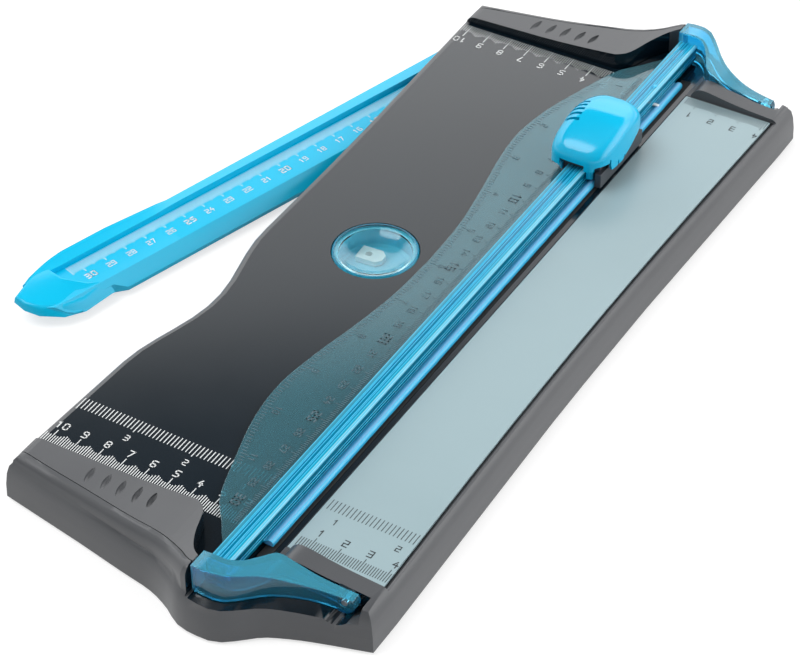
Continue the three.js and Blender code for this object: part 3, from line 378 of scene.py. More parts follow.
def nodeMesh(node, flat=0.6):
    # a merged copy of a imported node, with its flat faces joined again
    bm = bmesh.new()
    bm.from_mesh(frame["nodes"][node].data)
    bmesh.ops.remove_doubles(bm, verts=bm.verts, dist=0.000002)
    bmesh.ops.dissolve_limit(
        bm, angle_limit=math.radians(flat), use_dissolve_boundaries=False, verts=bm.verts,
        edges=bm.edges)
    return bm


def cutWith(obj, cutters):
    # boolean cuts, applied, with the cutting pieces removed and thin gaps closed
    for cutter in cutters:
        cut = obj.modifiers.new("cut", "BOOLEAN")
        cut.object = cutter
        cut.operation = "DIFFERENCE"
        cut.solver = "EXACT"
    applyAll(obj)
    for cutter in cutters:
        bpy.data.objects.remove(cutter)
    bm = bmesh.new()
    bm.from_mesh(obj.data)
    bmesh.ops.holes_fill(bm, edges=[e for e in bm.edges if e.is_boundary], sides=6)
    bm.to_mesh(obj.data)
    bm.free()


def applyAll(obj):
    bpy.context.view_layer.update()
    shape = obj.evaluated_get(bpy.context.evaluated_depsgraph_get())
    mesh = bpy.data.meshes.new_from_object(shape)
    obj.modifiers.clear()
    old = obj.data
    obj.data = mesh
    mesh.name = obj.name
    bpy.data.meshes.remove(old)


def dressNode(node, name, bevel=0.25, segments=2, finish=None, angle=35, edge=None):
    materials = [finish or finishes[nodeSlot[node]]] + ([edge] if edge else [])
    obj = newObject(name, nodeMesh(node), materials, angle=angle)
    if bevel:
        added = addBevel(obj, bevel, segments)
        if edge:
            added.material = 1
    return place(obj, nodeBody[node], nodeSlot[node], node)


housingSizes = {"edgeRound": 0.5, "stop": 155.3, "deckRight": 2.9, "level": 0.15, "levelUp": 0.9,
                "roll": 2.4, "rollSteps": 6, "rollLeft": -85, "rollSide": 0.5, "pocket": 3.6,
                "reach": 12, "across": 45, "wallTo": 180, "wallRight": -13.0, "wallLow": -0.5,
                "upright": 0.35, "toRail": 0.3, "toMiddle": 0.5}
skin = 0.0001  # metres, where a ray starts over its face


def pocketTest(bm, size):
    # finds the faces of the base that look at an end arm or at the pocket's other side, which are
    # painted dark as painted shade
    tree = BVHTree.FromBMesh(bm)
    grow = size["pocket"] * mm
    names = ("near_end_arm", "far_end_arm")
    arms = [(frame["nodes"][name], *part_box(name)) for name in names]

    def inPocket(face):
        spot = face.calc_center_median()
        start = spot + face.normal * skin
        for arm, low, high in arms:
            inX = low.x - grow < spot.x < high.x + grow
            if inX and low.y - grow < spot.y < high.y + grow:
                if tree.ray_cast(start, face.normal, size["across"] * mm)[0] is not None:
                    return True
                back = arm.matrix_world.inverted()
                aim = (back.to_3x3() @ face.normal).normalized()
                if arm.ray_cast(back @ start, aim, distance=size["reach"] * mm)[0]:
                    return True
        return False

    return inPocket


def facesDeck(face, size):
    # upright faces turned to the deck, left of the rail
    spot, normal = face.calc_center_median(), face.normal
    upright = abs(normal.z) < size["upright"] and spot.z > inFrame(0, 0, size["wallLow"]).z
    toMiddle = normal.y * spot.y < 0 and abs(normal.y) > size["toMiddle"]
    inward = normal.x > size["toRail"] or toMiddle
    near = abs(spot.y) < size["wallTo"] * mm and spot.x < inFrame(size["wallRight"], 0, 0).x
    return upright and inward and near


def makeHousing(size):
    bm = nodeMesh("base_housing")
    corner = inFrame(size["deckRight"], size["stop"], 0)
    for y in (corner.y, -corner.y):
        cutAcross(bm, (0, y, 0), (0, 1, 0), 0.000001)
    cutAcross(bm, (corner.x, 0, 0), (1, 0, 0), 0.000001)
    isTop = {}
    inPocket = pocketTest(bm, size)
    for face in bm.faces:
        # 1 is the flat deck; 2 the darker walls round it, and the faces in the arms' pockets,
        # painted dark there as painted shade
        centre = face.calc_center_bounds()
        top = abs(centre.z - corner.z) < size["level"] * mm and face.normal.z > size["levelUp"]
        isTop[face] = top and centre.x < corner.x
        dark = not isTop[face] and (inPocket(face) or facesDeck(face, size))
        face.material_index = 1 if isTop[face] else 2 if dark else 0
    rollLeft = inFrame(size["rollLeft"], 0, 0).x
    rolled = []
    for edge in bm.edges:
        tops = [isTop[f] for f in edge.link_faces]
        sides = [f.normal.x < -size["rollSide"] for f in edge.link_faces]
        left = max(v.co.x for v in edge.verts) < rollLeft
        if len(tops) == 2 and any(tops) and any(sides) and left:
            rolled.append(edge)
    made = bmesh.ops.bevel(
        bm, geom=rolled, offset=size["roll"] * mm, offset_type="OFFSET", segments=size["rollSteps"],
        profile=0.5, affect="EDGES", material=-1, clamp_overlap=True)
    for face in made["faces"]:
        face.material_index = 0
    coat = [finishes["grey_plastic"], coats["deckBlack"], coats["deckBlack"]]
    obj = newObject("housing", bm, coat, angle=30, flat=(1,))
    addBevel(obj, size["edgeRound"], 2, 40)
    return place(obj, "base", "grey_plastic", "base_housing")


leafSizes = {"spots": [(-73.4, 163.6), (-66.2, 163.7), (-59.5, 164.1), (-52.4, 164.3),
                       (-46.1, 164.4)], "long": 4.4, "wide": 1.25, "deep": 1.15,
             "heights": [4.35, 4.6, 4.85, 5.15, 5.5], "lean": 0.16, "lift": 0.2, "taper": 0.35,
             "coverRound": 0.35}


def makeLeaf(x, y, z, size, sign):
    bm = bmesh.new()
    bmesh.ops.create_uvsphere(bm, u_segments=16, v_segments=18, radius=1)
    for v in bm.verts:
        along = v.co.z
        shrink = max(0.0, 1 - along * along) ** size["taper"]
        wide, deep = v.co.x * shrink * size["wide"], v.co.y * shrink * size["deep"]
        v.co = Vector((wide, along * size["long"], deep))
    lean = Matrix.Rotation(-size["lean"] * sign, 3, "Z")
    bmesh.ops.rotate(bm, verts=bm.verts, cent=(0, 0, 0), matrix=lean)
    bmesh.ops.translate(bm, verts=bm.verts, vec=(x, y, z))
    return newObject("leafCutter", bm, [], toFrame)


def makeCover(node, name, sign, size):
    bm = nodeMesh(node)
    for face in bm.faces:
        face.material_index = 1 if facesDeck(face, housingSizes) else 0
    obj = newObject(name, bm, [finishes["grey_plastic"], coats["deckBlack"]], angle=30)
    cutters = []
    for (x, y), high in zip(size["spots"], size["heights"]):
        cutters.append(makeLeaf(x, sign * y, high + size["lift"], size, sign))
    cutWith(obj, cutters)
    smoothByAngle(obj.data, 14)
    addBevel(obj, size["coverRound"], 2, 50)
    return place(obj, "base", "grey_plastic", node)


makeHousing(housingSizes)
makeCover("near_end_cover", "nearCover", -1, leafSizes)
makeCover("far_end_cover", "farCover", 1, leafSizes)
dressNode("measuring_panel", "measuringPanel", 0.2)
dressNode("cutting_mat", "cuttingStrip", 0.2)
dressNode("bottom_plate", "bottomPlate", 0.2)
for i in range(1, 7):
    dressNode(f"case_screw_{i}", f"caseScrew{i}", 0.15)
    dressNode(f"rubber_foot_{i}", f"rubberFoot{i}", 0.4, 3)
for end in ("near", "far"):
    dressNode(f"{end}_hinge_pin", f"{end}HingePin", 0.15)
dressNode("arm_pivot_washer", "pivotWasher", 0.1)
dressNode("arm_pivot_screw", "pivotScrew", 0.15)
print("base made")


storeSizes = {"x": -55.3, "rim": 17.2, "stand": 0.2, "rimThick": 1.2, "neck": 14.7, "dish": 3.0,
              "wall": 1.1, "askew": -16.0, "ring": 0.9, "steps": 10, "curve": 4, "underRise": 0.75,
              "corner": 0.4, "lip": 0.5, "lipRound": (0.2, 0.25), "inset": (0.9, 0.6)}


def makeLid(size):
    rim, neck, top, steps = size["rim"], size["neck"], size["stand"], size["steps"]
    under = size["stand"] - size["rimThick"]
    outer = [(0, -size["dish"] - size["wall"])]
    inner = []
    for i in range(1, steps + 1):
        rise = size["dish"] * (i / steps) ** size["curve"]
        outer.append((neck * i / steps, -size["dish"] - size["wall"] + rise * size["underRise"]))
    outer += [(neck, under), (rim, under), (rim, top - size["corner"]), (rim - size["corner"], top),
              (rim - size["ring"], top), (neck + size["lip"], top),
              (neck - size["lipRound"][0], top - size["lipRound"][1])]
    across, down = size["inset"]
    for i in range(steps - 1, 0, -1):
        rise = (size["dish"] - down) * (i / steps) ** size["curve"]
        inner.append(((neck - across) * i / steps, -size["dish"] + rise))
    inner.append((0, -size["dish"]))
    bm = bmesh.new()
    spinProfile(bm, outer + inner, (size["x"], 0))
    for face in bm.faces:
        centre = face.calc_center_median()
        away = math.hypot(centre.x - size["x"], centre.y)
        face.material_index = 1 if away > rim - size["ring"] else 0
    obj = newObject("storeLid", bm, [coats["clearLid"], coats["lidRing"]], toFrame)
    return place(obj, "lid", "clear_blue", "storage_lid")


def makeSpare(size):
    # the spare holder lies a little askew in the cup
    bm = nodeMesh("spare_cartridge")
    low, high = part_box("spare_cartridge")
    middle = (low + high) / 2
    turn = Matrix.Rotation(math.radians(size["askew"]), 3, "Z")
    bmesh.ops.rotate(bm, verts=bm.verts, cent=middle, matrix=turn)
    obj = newObject("spareCartridge", bm, [finishes["white_plastic"]])
    addBevel(obj, 0.25, 2)
    return place(obj, "base", "white_plastic", "spare_cartridge")


makeLid(storeSizes)
# the cup takes its lighter blue of painted light
dressNode("storage_cup", "storeCup", 0.25, finish=coats["cupBlueWithPaintedLight"])
makeSpare(storeSizes)
print("blade store made")


catchSizes = {"hook": (-6.9, -5.3, 142.5, 144.3, 8.0, 8.75),
              "peg": (-6.4, -5.8, 141.6, 142.6, 8.0, 8.65),
              "tab": (-4.3, -1.6, 137.6, 139.2, 2.6, 3.45)}


def makeCatches(size):
    bm = bmesh.new()
    boxAt(bm, *size["hook"])
    boxAt(bm, *size["peg"])
    # the hook and its peg take the painted edge highlight all over
    obj = newObject("railHook", bm, [coats["paintedEdgeHighlight"]], toFrame)
    addBevel(obj, 0.3, 2)
    place(obj, "rail", "clear_blue")
    bm = bmesh.new()
    boxAt(bm, *size["tab"])
    obj = newObject("railTab", bm, [finishes["white_plastic"]], toFrame)
    addBevel(obj, 0.3, 2)
    return place(obj, "rail", "white_plastic")


endArmSizes = {"left": -13, "endFace": -0.95, "paintedLightUp": 0.6, "round": 0.75}


def makeEndArm(end, size):
    # a clear shell with painted highlights on its edges, lighter painted upper faces where the
    # light falls, and a frosted left end
    bm = nodeMesh(f"{end}_end_arm")
    left = inFrame(size["left"], 0, 0).x
    for face in bm.faces:
        outer = face.normal.x < size["endFace"] and face.calc_center_median().x < left
        # 3: the upward faces, painted lighter as painted light on the same moulding
        face.material_index = 2 if outer else 3 if face.normal.z > size["paintedLightUp"] else 0
    coat = [shellFinish, coats["paintedEdgeHighlight"], coats["frostedEnd"], coats["shellTopPaintedLight"]]
    obj = newObject(f"{end}EndArm", bm, coat, angle=30)
    # the bevel's faces take the painted edge highlight
    addBevel(obj, size["round"], 3).material = 1
    return place(obj, "rail", "clear_blue", f"{end}_end_arm")


# the rail's bevelled edges take the painted edge highlight
dressNode("guide_rail", "guideRail", 0.3, 2, railWithPaintedLight, edge=coats["paintedEdgeHighlight"])
makeCatches(catchSizes)
dressNode("pressure_plate", "pressurePlate", 0.25)
for end in ("near", "far"):
    makeEndArm(end, endArmSizes)
print("rail made")


headSizes = {"left": -21.2, "right": 4.0, "near": 75.6, "far": 116.8, "wall": 1.2, "square": 3.7,
             "squareFar": 2.8, "leftRound": 7.5, "rightRound": 3.2, "nearRound": 3.2,
             "farRound": 7.5, "points": 112, "arcSteps": 9,
             "roof": [(0, 16.3), (0.056, 17.2), (0.15, 18.8), (0.243, 20.2), (0.336, 21.4),
                      (0.407, 22.2), (0.477, 22.7), (0.547, 22.8), (0.64, 22.4), (0.734, 21.6),
                      (0.85, 20.3), (1, 18.2)], "crown": 0.9, "skirt": 0.4, "frontDeep": 2,
             "footEdge": 4, "rings": (0.86, 0.72, 0.58, 0.44, 0.3, 0.16, 0.05),
             "frontFoot": [(-21.2, 7.8), (-18.4, 7.8), (-17.8, 8.6), (-0.6, 9.6), (0, 11.6),
                           (4.2, 11.8)],
             "rightFoot": [(75.6, 11.8), (83, 11.8), (83.6, 7.7), (92, 7.5), (98, 9.8), (103, 11.8),
                           (108, 12.8), (118.4, 13)],
             "leftFoot": [(75.6, 7.8), (80, 7.6), (108, 8.6), (112, 9.6), (118.4, 10.5)]}


def between(points, at):
    # the height at a place along a line of points
    for (s0, z0), (s1, z1) in zip(points, points[1:]):
        if at <= s1:
            return z0 + (z1 - z0) * max(0.0, at - s0) / (s1 - s0)
    return points[-1][1]


def alongRoof(points, share):
    # a smooth line through the points
    share = min(1.0, max(0.0, share))
    i = max(j for j in range(len(points) - 1) if points[j][0] <= share or j == 0)
    (s0, z0), (s1, z1) = points[i], points[i + 1]

    def slope(j):
        a, b = points[max(0, j - 1)], points[min(len(points) - 1, j + 1)]
        return (b[1] - a[1]) / (b[0] - a[0])

    long = s1 - s0
    t = (share - s0) / long
    return ((2 * t ** 3 - 3 * t * t + 1) * z0 + (t ** 3 - 2 * t * t + t) * long * slope(i)
            + (3 * t * t - 2 * t ** 3) * z1 + (t ** 3 - t * t) * long * slope(i + 1))


def headPlan(size, inset=0.0):
    # middle and half widths of the head's outline
    cx, cy = (size["left"] + size["right"]) / 2, (size["near"] + size["far"]) / 2
    hx, hy = (size["right"] - size["left"]) / 2 - inset, (size["far"] - size["near"]) / 2 - inset
    return cx, cy, hx, hy


def nextRing(bm, edges, ring, moved):
    # the next ring of a shell, extruded from the last one and set on its spots
    made = bmesh.ops.extrude_edge_only(bm, edges=edges)["geom"]
    newEdges = [g for g in made if isinstance(g, bmesh.types.BMEdge)]
    newVerts = {g for g in made if isinstance(g, bmesh.types.BMVert)}
    pairs = {}
    for v in newVerts:
        for e in v.link_edges:
            pairs[e.other_vert(v)] = v
    nextOnes = [pairs[v] for v in ring]
    for v, spot in zip(nextOnes, moved):
        v.co = Vector(spot)
    return [e for e in newEdges if all(v in newVerts for v in e.verts)], nextOnes


def makeHead(size):
    cx, cy, hx, hy = headPlan(size)

    def roof(x, y):
        crown = size["crown"] * ((x - cx) / hx) ** 2
        return alongRoof(size["roof"], (y - size["near"]) / (2 * hy)) - crown

    def foot(x, y):
        if y < size["near"] + size["frontDeep"]:
            return between(size["frontFoot"], x)
        left, right = between(size["leftFoot"], y), between(size["rightFoot"], y)
        edge = size["footEdge"]
        share = min(1.0, max(0.0, (x - size["left"] - edge) / (2 * hx - 2 * edge)))
        return left + (right - left) * share

    bm = bmesh.new()
    made = bmesh.ops.create_circle(bm, cap_ends=False, radius=1, segments=size["points"])
    ring = made["verts"]
    outline = []
    for v in ring:
        a = math.atan2(v.co.y, v.co.x)
        c, s = math.cos(a), math.sin(a)
        power = 2 / (size["squareFar"] if s > 0 else size["square"])
        x = cx + hx * math.copysign(abs(c) ** power, c)
        y = cy + hy * math.copysign(abs(s) ** power, s)
        side = size["rightRound"] if c > 0 else size["leftRound"]
        end = size["farRound"] if s > 0 else size["nearRound"]
        r = side * c * c + end * s * s
        outline.append((x, y, r))
        v.co = Vector((x, y, min(foot(x, y), roof(x, y) - r - size["skirt"])))
    edges = list(bm.edges)

    # round the top edge over, then close the roof with smaller and smaller rings
    rows = []
    for step in range(size["arcSteps"] + 1):
        angle = (math.pi / 2) * step / size["arcSteps"]
        row = []
        for x, y, r in outline:
            reach = Vector(((cx - x) / hx, (cy - y) / hy, 0)).normalized()
            move = r * (1 - math.cos(angle))
            nx, ny = x + reach.x * move, y + reach.y * move
            row.append((nx, ny, roof(nx, ny) - r * (1 - math.sin(angle))))
        rows.append(row)
    last = rows[-1]
    for share in size["rings"]:
        row = []
        for x, y, z in last:
            nx, ny = cx + (x - cx) * share, cy + (y - cy) * share
            row.append((nx, ny, roof(nx, ny)))
        rows.append(row)
    for row in rows:
        edges, ring = nextRing(bm, edges, ring, row)
    bmesh.ops.contextual_create(bm, geom=edges)
    obj = newObject("headShell", bm, [finishes["turquoise_plastic"]], toFrame, 60)
    wall = obj.modifiers.new("wall", "SOLIDIFY")
    wall.thickness = size["wall"] * mm
    wall.offset = 1
    applyAll(obj)
    return obj


gripSizes = {"spots": [(-16.4, 89.4), (-16.5, 92.5), (-16.6, 95.4), (-16.8, 98.2), (-17.1, 101.0)],
             "long": 6.6, "wide": 1.4, "deep": 0.95, "up": 4, "high": 20.2, "tilt": -23}
toothSizes = {"slots": [(82.6, 5, 13.2), (88.4, 5, 9.8), (93.6, 5, 9.4)], "wide": 0.8, "from": 2.0,
              "to": 6}
archSizes = {"left": -14.6, "right": -3.6, "near": 60, "far": 130, "foot": 0, "roof": 12.3}
# the carriage's own front, inside the head's front wall, so that the head can be pressed over it
frontSizes = {"inset": 1.45, "deep": 1.6,
              "strips": [((-17.9, -17.1, -16.3, -15.5, -14.7), 4.6, 8.3, 0),
                         ((-15.6, -14.0, -11.0, -7.0, -4.0, -2.4), 9.0, 11.0, 1),
                         ((-3.9, -2.9, -1.9, -1.1), 3.9, 10.6, 0)]}


def makeGripCutters(size):
    cutters = []
    half, wide = size["long"] / 2, size["wide"] / 2
    tilt = Matrix.Rotation(math.radians(size["tilt"]), 4, "Y")
    for x, y in size["spots"]:
        bm = bmesh.new()
        spot = Matrix.Translation((x, y, size["high"])) @ tilt
        boxAt(bm, -half, half, -wide, wide, -size["deep"], size["up"], spot)
        cutters.append(newObject("gripCutter", bm, [], toFrame))
    return cutters


def makeToothCutters(size):
    cutters = []
    half = size["wide"] / 2
    for y, low, high in size["slots"]:
        bm = bmesh.new()
        boxAt(bm, size["from"], size["to"], y - half, y + half, low, high)
        cutters.append(newObject("toothCutter", bm, [], toFrame))
    return cutters


def finishHead(obj, size):
    # cuts the grips, the teeth and the arch over the rail
    bm = bmesh.new()
    boxAt(bm, size["left"], size["right"], size["near"], size["far"], size["foot"], size["roof"])
    arch = newObject("archCutter", bm, [], toFrame)
    cutWith(obj, makeGripCutters(gripSizes) + makeToothCutters(toothSizes) + [arch])
    smoothByAngle(obj.data, 40)
    addBevel(obj, 0.25, 2, 45)
    return place(obj, "head", "turquoise_plastic", "head_cover")


def insideHead(size, x, inset, sign):
    # how far the head's inside reaches along y at x
    cx, cy, hx, hy = headPlan(size, inset)
    power = size["squareFar"] if sign > 0 else size["square"]
    share = min(0.999, abs(x - cx) / hx)
    return cy + sign * hy * (1 - share ** power) ** (1 / power)


def makeFront(size):
    bm = bmesh.new()
    for stations, foot, top, finish in size["strips"]:
        rows = []
        done = set(bm.faces)
        for x in stations:
            y = insideHead(headSizes, x, size["inset"], -1)
            back = y + size["deep"]
            section = ((x, y, foot), (x, y, top), (x, back, top), (x, back, foot))
            rows.append([bm.verts.new(p) for p in section])
        for one, two in zip(rows, rows[1:]):
            for i in range(4):
                bm.faces.new((one[i], one[(i + 1) % 4], two[(i + 1) % 4], two[i]))
        bm.faces.new(rows[0])
        bm.faces.new(rows[-1])
        for face in set(bm.faces) - done:
            face.material_index = finish
    coat = [finishes["turquoise_plastic"], coats["carriageGrey"]]
    obj = newObject("carriageFront", bm, coat, toFrame)
    addBevel(obj, 0.4, 3)
    return place(obj, "carriage", "turquoise_plastic")


# dark ends and side of the carriage, clear of the blade's holder and of the pressed head
guardSizes = {"blocks": [(-0.1, 2.75, 77.8, 84.8, 1.2, 7.9), (-2.5, 1.2, 79.9, 84.8, 3.6, 11.2),
                         (-0.1, 2.75, 108.3, 114.6, 1.2, 7.6), (-2.5, 0.3, 108.3, 111.3, 3.6, 11.2),
                         (2.1, 2.75, 84.3, 93.7, 1.2, 9.0), (2.1, 2.75, 93.2, 99.8, 1.2, 5.8),
                         (2.1, 2.75, 99.3, 108.8, 1.2, 9.0)]}


def makeGuard(size):
    bm = bmesh.new()
    for block in size["blocks"]:
        boxAt(bm, *block)
    obj = newObject("carriageGuard", bm, [coats["carriageGrey"]], toFrame)
    addBevel(obj, 0.3, 2)
    return place(obj, "carriage", "dark_plastic")


saddleSizes = {"inset": 2.4, "near": 79.0}


def makeSaddle(size):
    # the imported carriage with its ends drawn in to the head's inside
    bm = nodeMesh("carriage_base")
    back = toFrame.inverted()
    middle = (headSizes["near"] + headSizes["far"]) / 2
    for v in bm.verts:
        x, y, z = back @ v.co
        far = insideHead(headSizes, x, size["inset"], 1)
        near = max(size["near"], insideHead(headSizes, x, size["inset"], -1))
        if y < near or y > far:
            v.co = toFrame @ Vector((x, near if y < middle else far, z))
    obj = newObject("carriageBase", bm, [coats["carriageGrey"]])
    addBevel(obj, 0.3, 2)
    return place(obj, "carriage", nodeSlot["carriage_base"], "carriage_base")


makeGuard(guardSizes)
finishHead(makeHead(headSizes), archSizes)
makeFront(frontSizes)
makeSaddle(saddleSizes)
dressNode("blade_cartridge", "bladeCartridge", 0.2, 2, coats["carriageGrey"])
dressNode("rotary_blade", "rotaryBlade", 0, angle=12)
dressNode("blade_axle", "bladeAxle", 0.1)
for end in ("near", "far"):
    spring = dressNode(f"head_spring_{end}", f"{end}HeadSpring", 0, angle=60)
    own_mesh(spring)
print("carriage made")


# s runs along the arm from the cut line, t towards its fence, z from the top of its scale
armPlace = {"pivotX": -86.3, "pivotY": 143.84, "heading": 253.5, "top": -8.0}
armSizes = {"flatFrom": 250, "leafFrom": 260, "outer": 17, "inner": 13.5,
            "slope": 0.75, "leaf": 0.55, "footFrom": 296, "footRise": 4.2, "tip": 329.5,
            "capRound": 1.1, "topBand": 2, "footBand": -5, "slack": 1,
            "capTop": [(311.4, 16.2, 2.3), (310.9, 6.1, 2.3), (304.4, -1.6, 1.0),
                       (297.5, -4.7, -0.1), (309.5, -6.6, -1.5), (319, -5.3, -0.4),
                       (326.5, -1.6, 0.7), (330.3, 3.6, 1.6), (331.0, 9.2, 2.2), (323.1, 13.0, 2.4),
                       (317.7, 14.9, 2.4)],
            "capFoot": [(311.2, 17.4, -4.5), (309, 6.1, -4.5), (303, -1.6, -4.5),
                        (296.5, -8.4, -4.5), (311.5, -9.4, -5.4), (320.3, -7.4, -4.6),
                        (328.0, -1.6, -3.2), (331.2, 3.6, -1.8), (331.7, 9.4, -0.8),
                        (324.0, 13.7, -2.6), (318.1, 15.7, -3.8)]}


def armMatrix(size):
    # from the arm's own axes to those of this file
    turn = Matrix.Rotation(math.radians(size["heading"]), 4, "Z")
    flip = Matrix.Diagonal((1, -1, 1, 1))
    pivot = Matrix.Translation((size["pivotX"], size["pivotY"], size["top"]))
    return pivot @ turn @ flip @ Matrix.Translation((size["pivotX"], 0, 0))


def makeArm(size):
    bm = nodeMesh("ruler_arm")
    there = toFrame @ armMatrix(armPlace)
    bmesh.ops.transform(bm, matrix=there.inverted(), verts=bm.verts)
    for spot in (size["flatFrom"], size["leafFrom"]):
        cutAcross(bm, (spot, 0, 0), (1, 0, 0), 0.001)
    slack = size["slack"]
    for v in bm.verts:
        along, across, high = v.co
        if high > size["topBand"] and across > size["outer"] and along <= size["flatFrom"] + slack:
            v.co.z -= size["slope"]
        if high > size["topBand"] and across < size["inner"] and along >= size["leafFrom"] - slack:
            v.co.z -= size["leaf"]
        if high < size["footBand"] and along > size["footFrom"]:
            rise = size["footRise"] * (along - size["footFrom"])
            v.co.z += rise / (size["tip"] - size["footFrom"])
    bmesh.ops.transform(bm, matrix=there, verts=bm.verts)
    obj = newObject("rulerArm", bm, [coats["armBlue"]], angle=30)
    addBevel(obj, 0.5, 3)
    return place(obj, "ruler", "turquoise_plastic", "ruler_arm")


def makeArmTip(size):
    bm = bmesh.new()
    foot, top = ([bm.verts.new(p) for p in size[name]] for name in ("capFoot", "capTop"))
    count = len(foot)
    for i in range(count):
        j = (i + 1) % count
        bm.faces.new((foot[i], foot[j], top[j], top[i]))
    crown = bm.faces.new(top)
    under = bm.faces.new(foot)
    edges = list(crown.edges)  # the cap's upper edge is rounded over
    bmesh.ops.triangulate(bm, faces=[crown, under])
    bmesh.ops.bevel(
        bm, geom=edges, offset=size["capRound"], offset_type="OFFSET", segments=5, profile=0.5,
        affect="EDGES", material=-1, clamp_overlap=True)
    bmesh.ops.transform(bm, matrix=armMatrix(armPlace), verts=bm.verts)
    obj = newObject("rulerArmTip", bm, [coats["armBlue"]], toFrame, 50)
    return place(obj, "ruler", "turquoise_plastic")


makeArm(armSizes)
makeArmTip(armSizes)
print("ruler arm made")


strokes = {"a": ((0, 1), (1, 1)), "b": ((1, 1), (1, 0.5)), "c": ((1, 0.5), (1, 0)),
           "d": ((1, 0), (0, 0)), "e": ((0, 0), (0, 0.5)), "f": ((0, 0.5), (0, 1)),
           "g": ((0, 0.5), (1, 0.5)), "s": ((1, 1), (0.35, 0)), "m": ((0.5, 1), (0.5, 0)),
           "h": ((0.5, 1), (0.15, 0.78)), "k": ((0.6, 1), (0, 0.4)), "n": ((0, 0.4), (1, 0.4)),
           "p": ((0.72, 0.62), (0.72, 0))}
digitStrokes = {"0": "abcdef", "1": "mh", "2": "abged", "3": "abgcd", "4": "knp", "5": "afgcd",
                "6": "afgedc", "7": "as", "8": "abcdefg", "9": "abcdfg"}
digitShape = {"wide": 0.6, "stroke": 0.15, "gap": 2.2}
inkThick = 0.05  # print stands this far over its ground
inch = 25.4


def drawDigit(bm, digit, spot, wide, high, stroke):
    for name in digitStrokes[digit]:
        (x0, y0), (x1, y1) = strokes[name]
        start = Vector(((x0 - 0.5) * wide, (y0 - 0.5) * high, 0))
        end = Vector(((x1 - 0.5) * wide, (y1 - 0.5) * high, 0))
        run = end - start
        turn = Matrix.Rotation(math.atan2(run.y, run.x), 4, "Z")
        turn = Matrix.Translation((start + end) / 2) @ turn
        half = run.length / 2 + stroke / 2
        boxAt(bm, -half, half, -stroke / 2, stroke / 2, 0, inkThick, spot @ turn)


def drawNumber(bm, number, spot, high, stroke=None):
    # upright strokes side by side, centred on the spot
    text = str(number)
    wide = high * digitShape["wide"]
    stroke = stroke or high * digitShape["stroke"]
    gap = wide + stroke * digitShape["gap"]
    for i, digit in enumerate(text):
        shift = Matrix.Translation(((i - (len(text) - 1) / 2) * gap, 0, 0))
        drawDigit(bm, digit, spot @ shift, wide, high, stroke)


def spotAt(x, y, z, turn=0.0):
    return Matrix.Translation((x, y, z)) @ Matrix.Rotation(turn, 4, "Z")


deckPrint = {"line": 0.34, "farLine": 0.2, "left": -103.2, "nearBase": -154.7,
             "farBase": 154.7, "mmLong": 5.2, "halfLong": 6.9, "cmLong": 8.1, "farMm": 4.6,
             "farHalf": 6.4, "farCm": 8.4, "nearNumber": -143.8, "farNumber": 143.3, "digit": 3.1,
             "inchBase": -133, "inchLong": 5.5, "inchNumber": -137.6, "inchDigit": 2.6, "first": 4,
             "swell": 3, "inchFirst": 3, "inchMore": 0.9}


def makeDeckPrint(size):
    bm = bmesh.new()
    half = size["line"] / 2
    for i in range(size["first"], int(-size["left"]) + 1):
        # the ticks between two centimetres swell towards the half
        swell = max(0, 1 - abs(i % 10 - 5) / size["swell"])
        near = size["mmLong"] + (size["halfLong"] - size["mmLong"]) * swell
        far = size["farMm"] + (size["farHalf"] - size["farMm"]) * swell
        thin = size["farLine"] / 2
        if i % 10 == 0:
            near, far, thin = size["cmLong"], size["farCm"], half
        boxAt(bm, -i - half, -i + half, size["nearBase"], size["nearBase"] + near, 0, inkThick)
        boxAt(bm, -i - thin, -i + thin, size["farBase"] - far, size["farBase"], 0, inkThick)
    for cm in range(1, 11):
        drawNumber(bm, cm, spotAt(-10 * cm, size["nearNumber"], 0), size["digit"])
        drawNumber(bm, cm, spotAt(-10 * cm, size["farNumber"], 0, math.pi), size["digit"])
    i = size["inchFirst"]
    while -i * inch / 16 >= size["left"] + 1:
        x = -i * inch / 16
        foot = size["inchBase"] - (size["inchMore"] if i % 16 == 0 else 0)
        boxAt(bm, x - half, x + half, foot, size["inchBase"] + size["inchLong"], 0, inkThick)
        i += 1
    for n in (1, 2, 3):
        drawNumber(bm, n, spotAt(-n * inch, size["inchNumber"], 0), size["inchDigit"])
    obj = newObject("deckScale", bm, [whiteInk], toFrame)
    return place(obj, "base", "white_plastic")


panelPrint = {"line": 0.3, "left": 5, "right": 41, "nearBase": -152.4, "farBase": 154,
              "mmLong": 4.6, "cmLong": 6.2, "nearNumber": -143.4, "farNumber": 143, "digit": 2.9,
              "inchBase": -132, "inchLong": 5.2, "inchNumber": -136.4, "inchZero": -14.0,
              "inchDigit": 2.5}


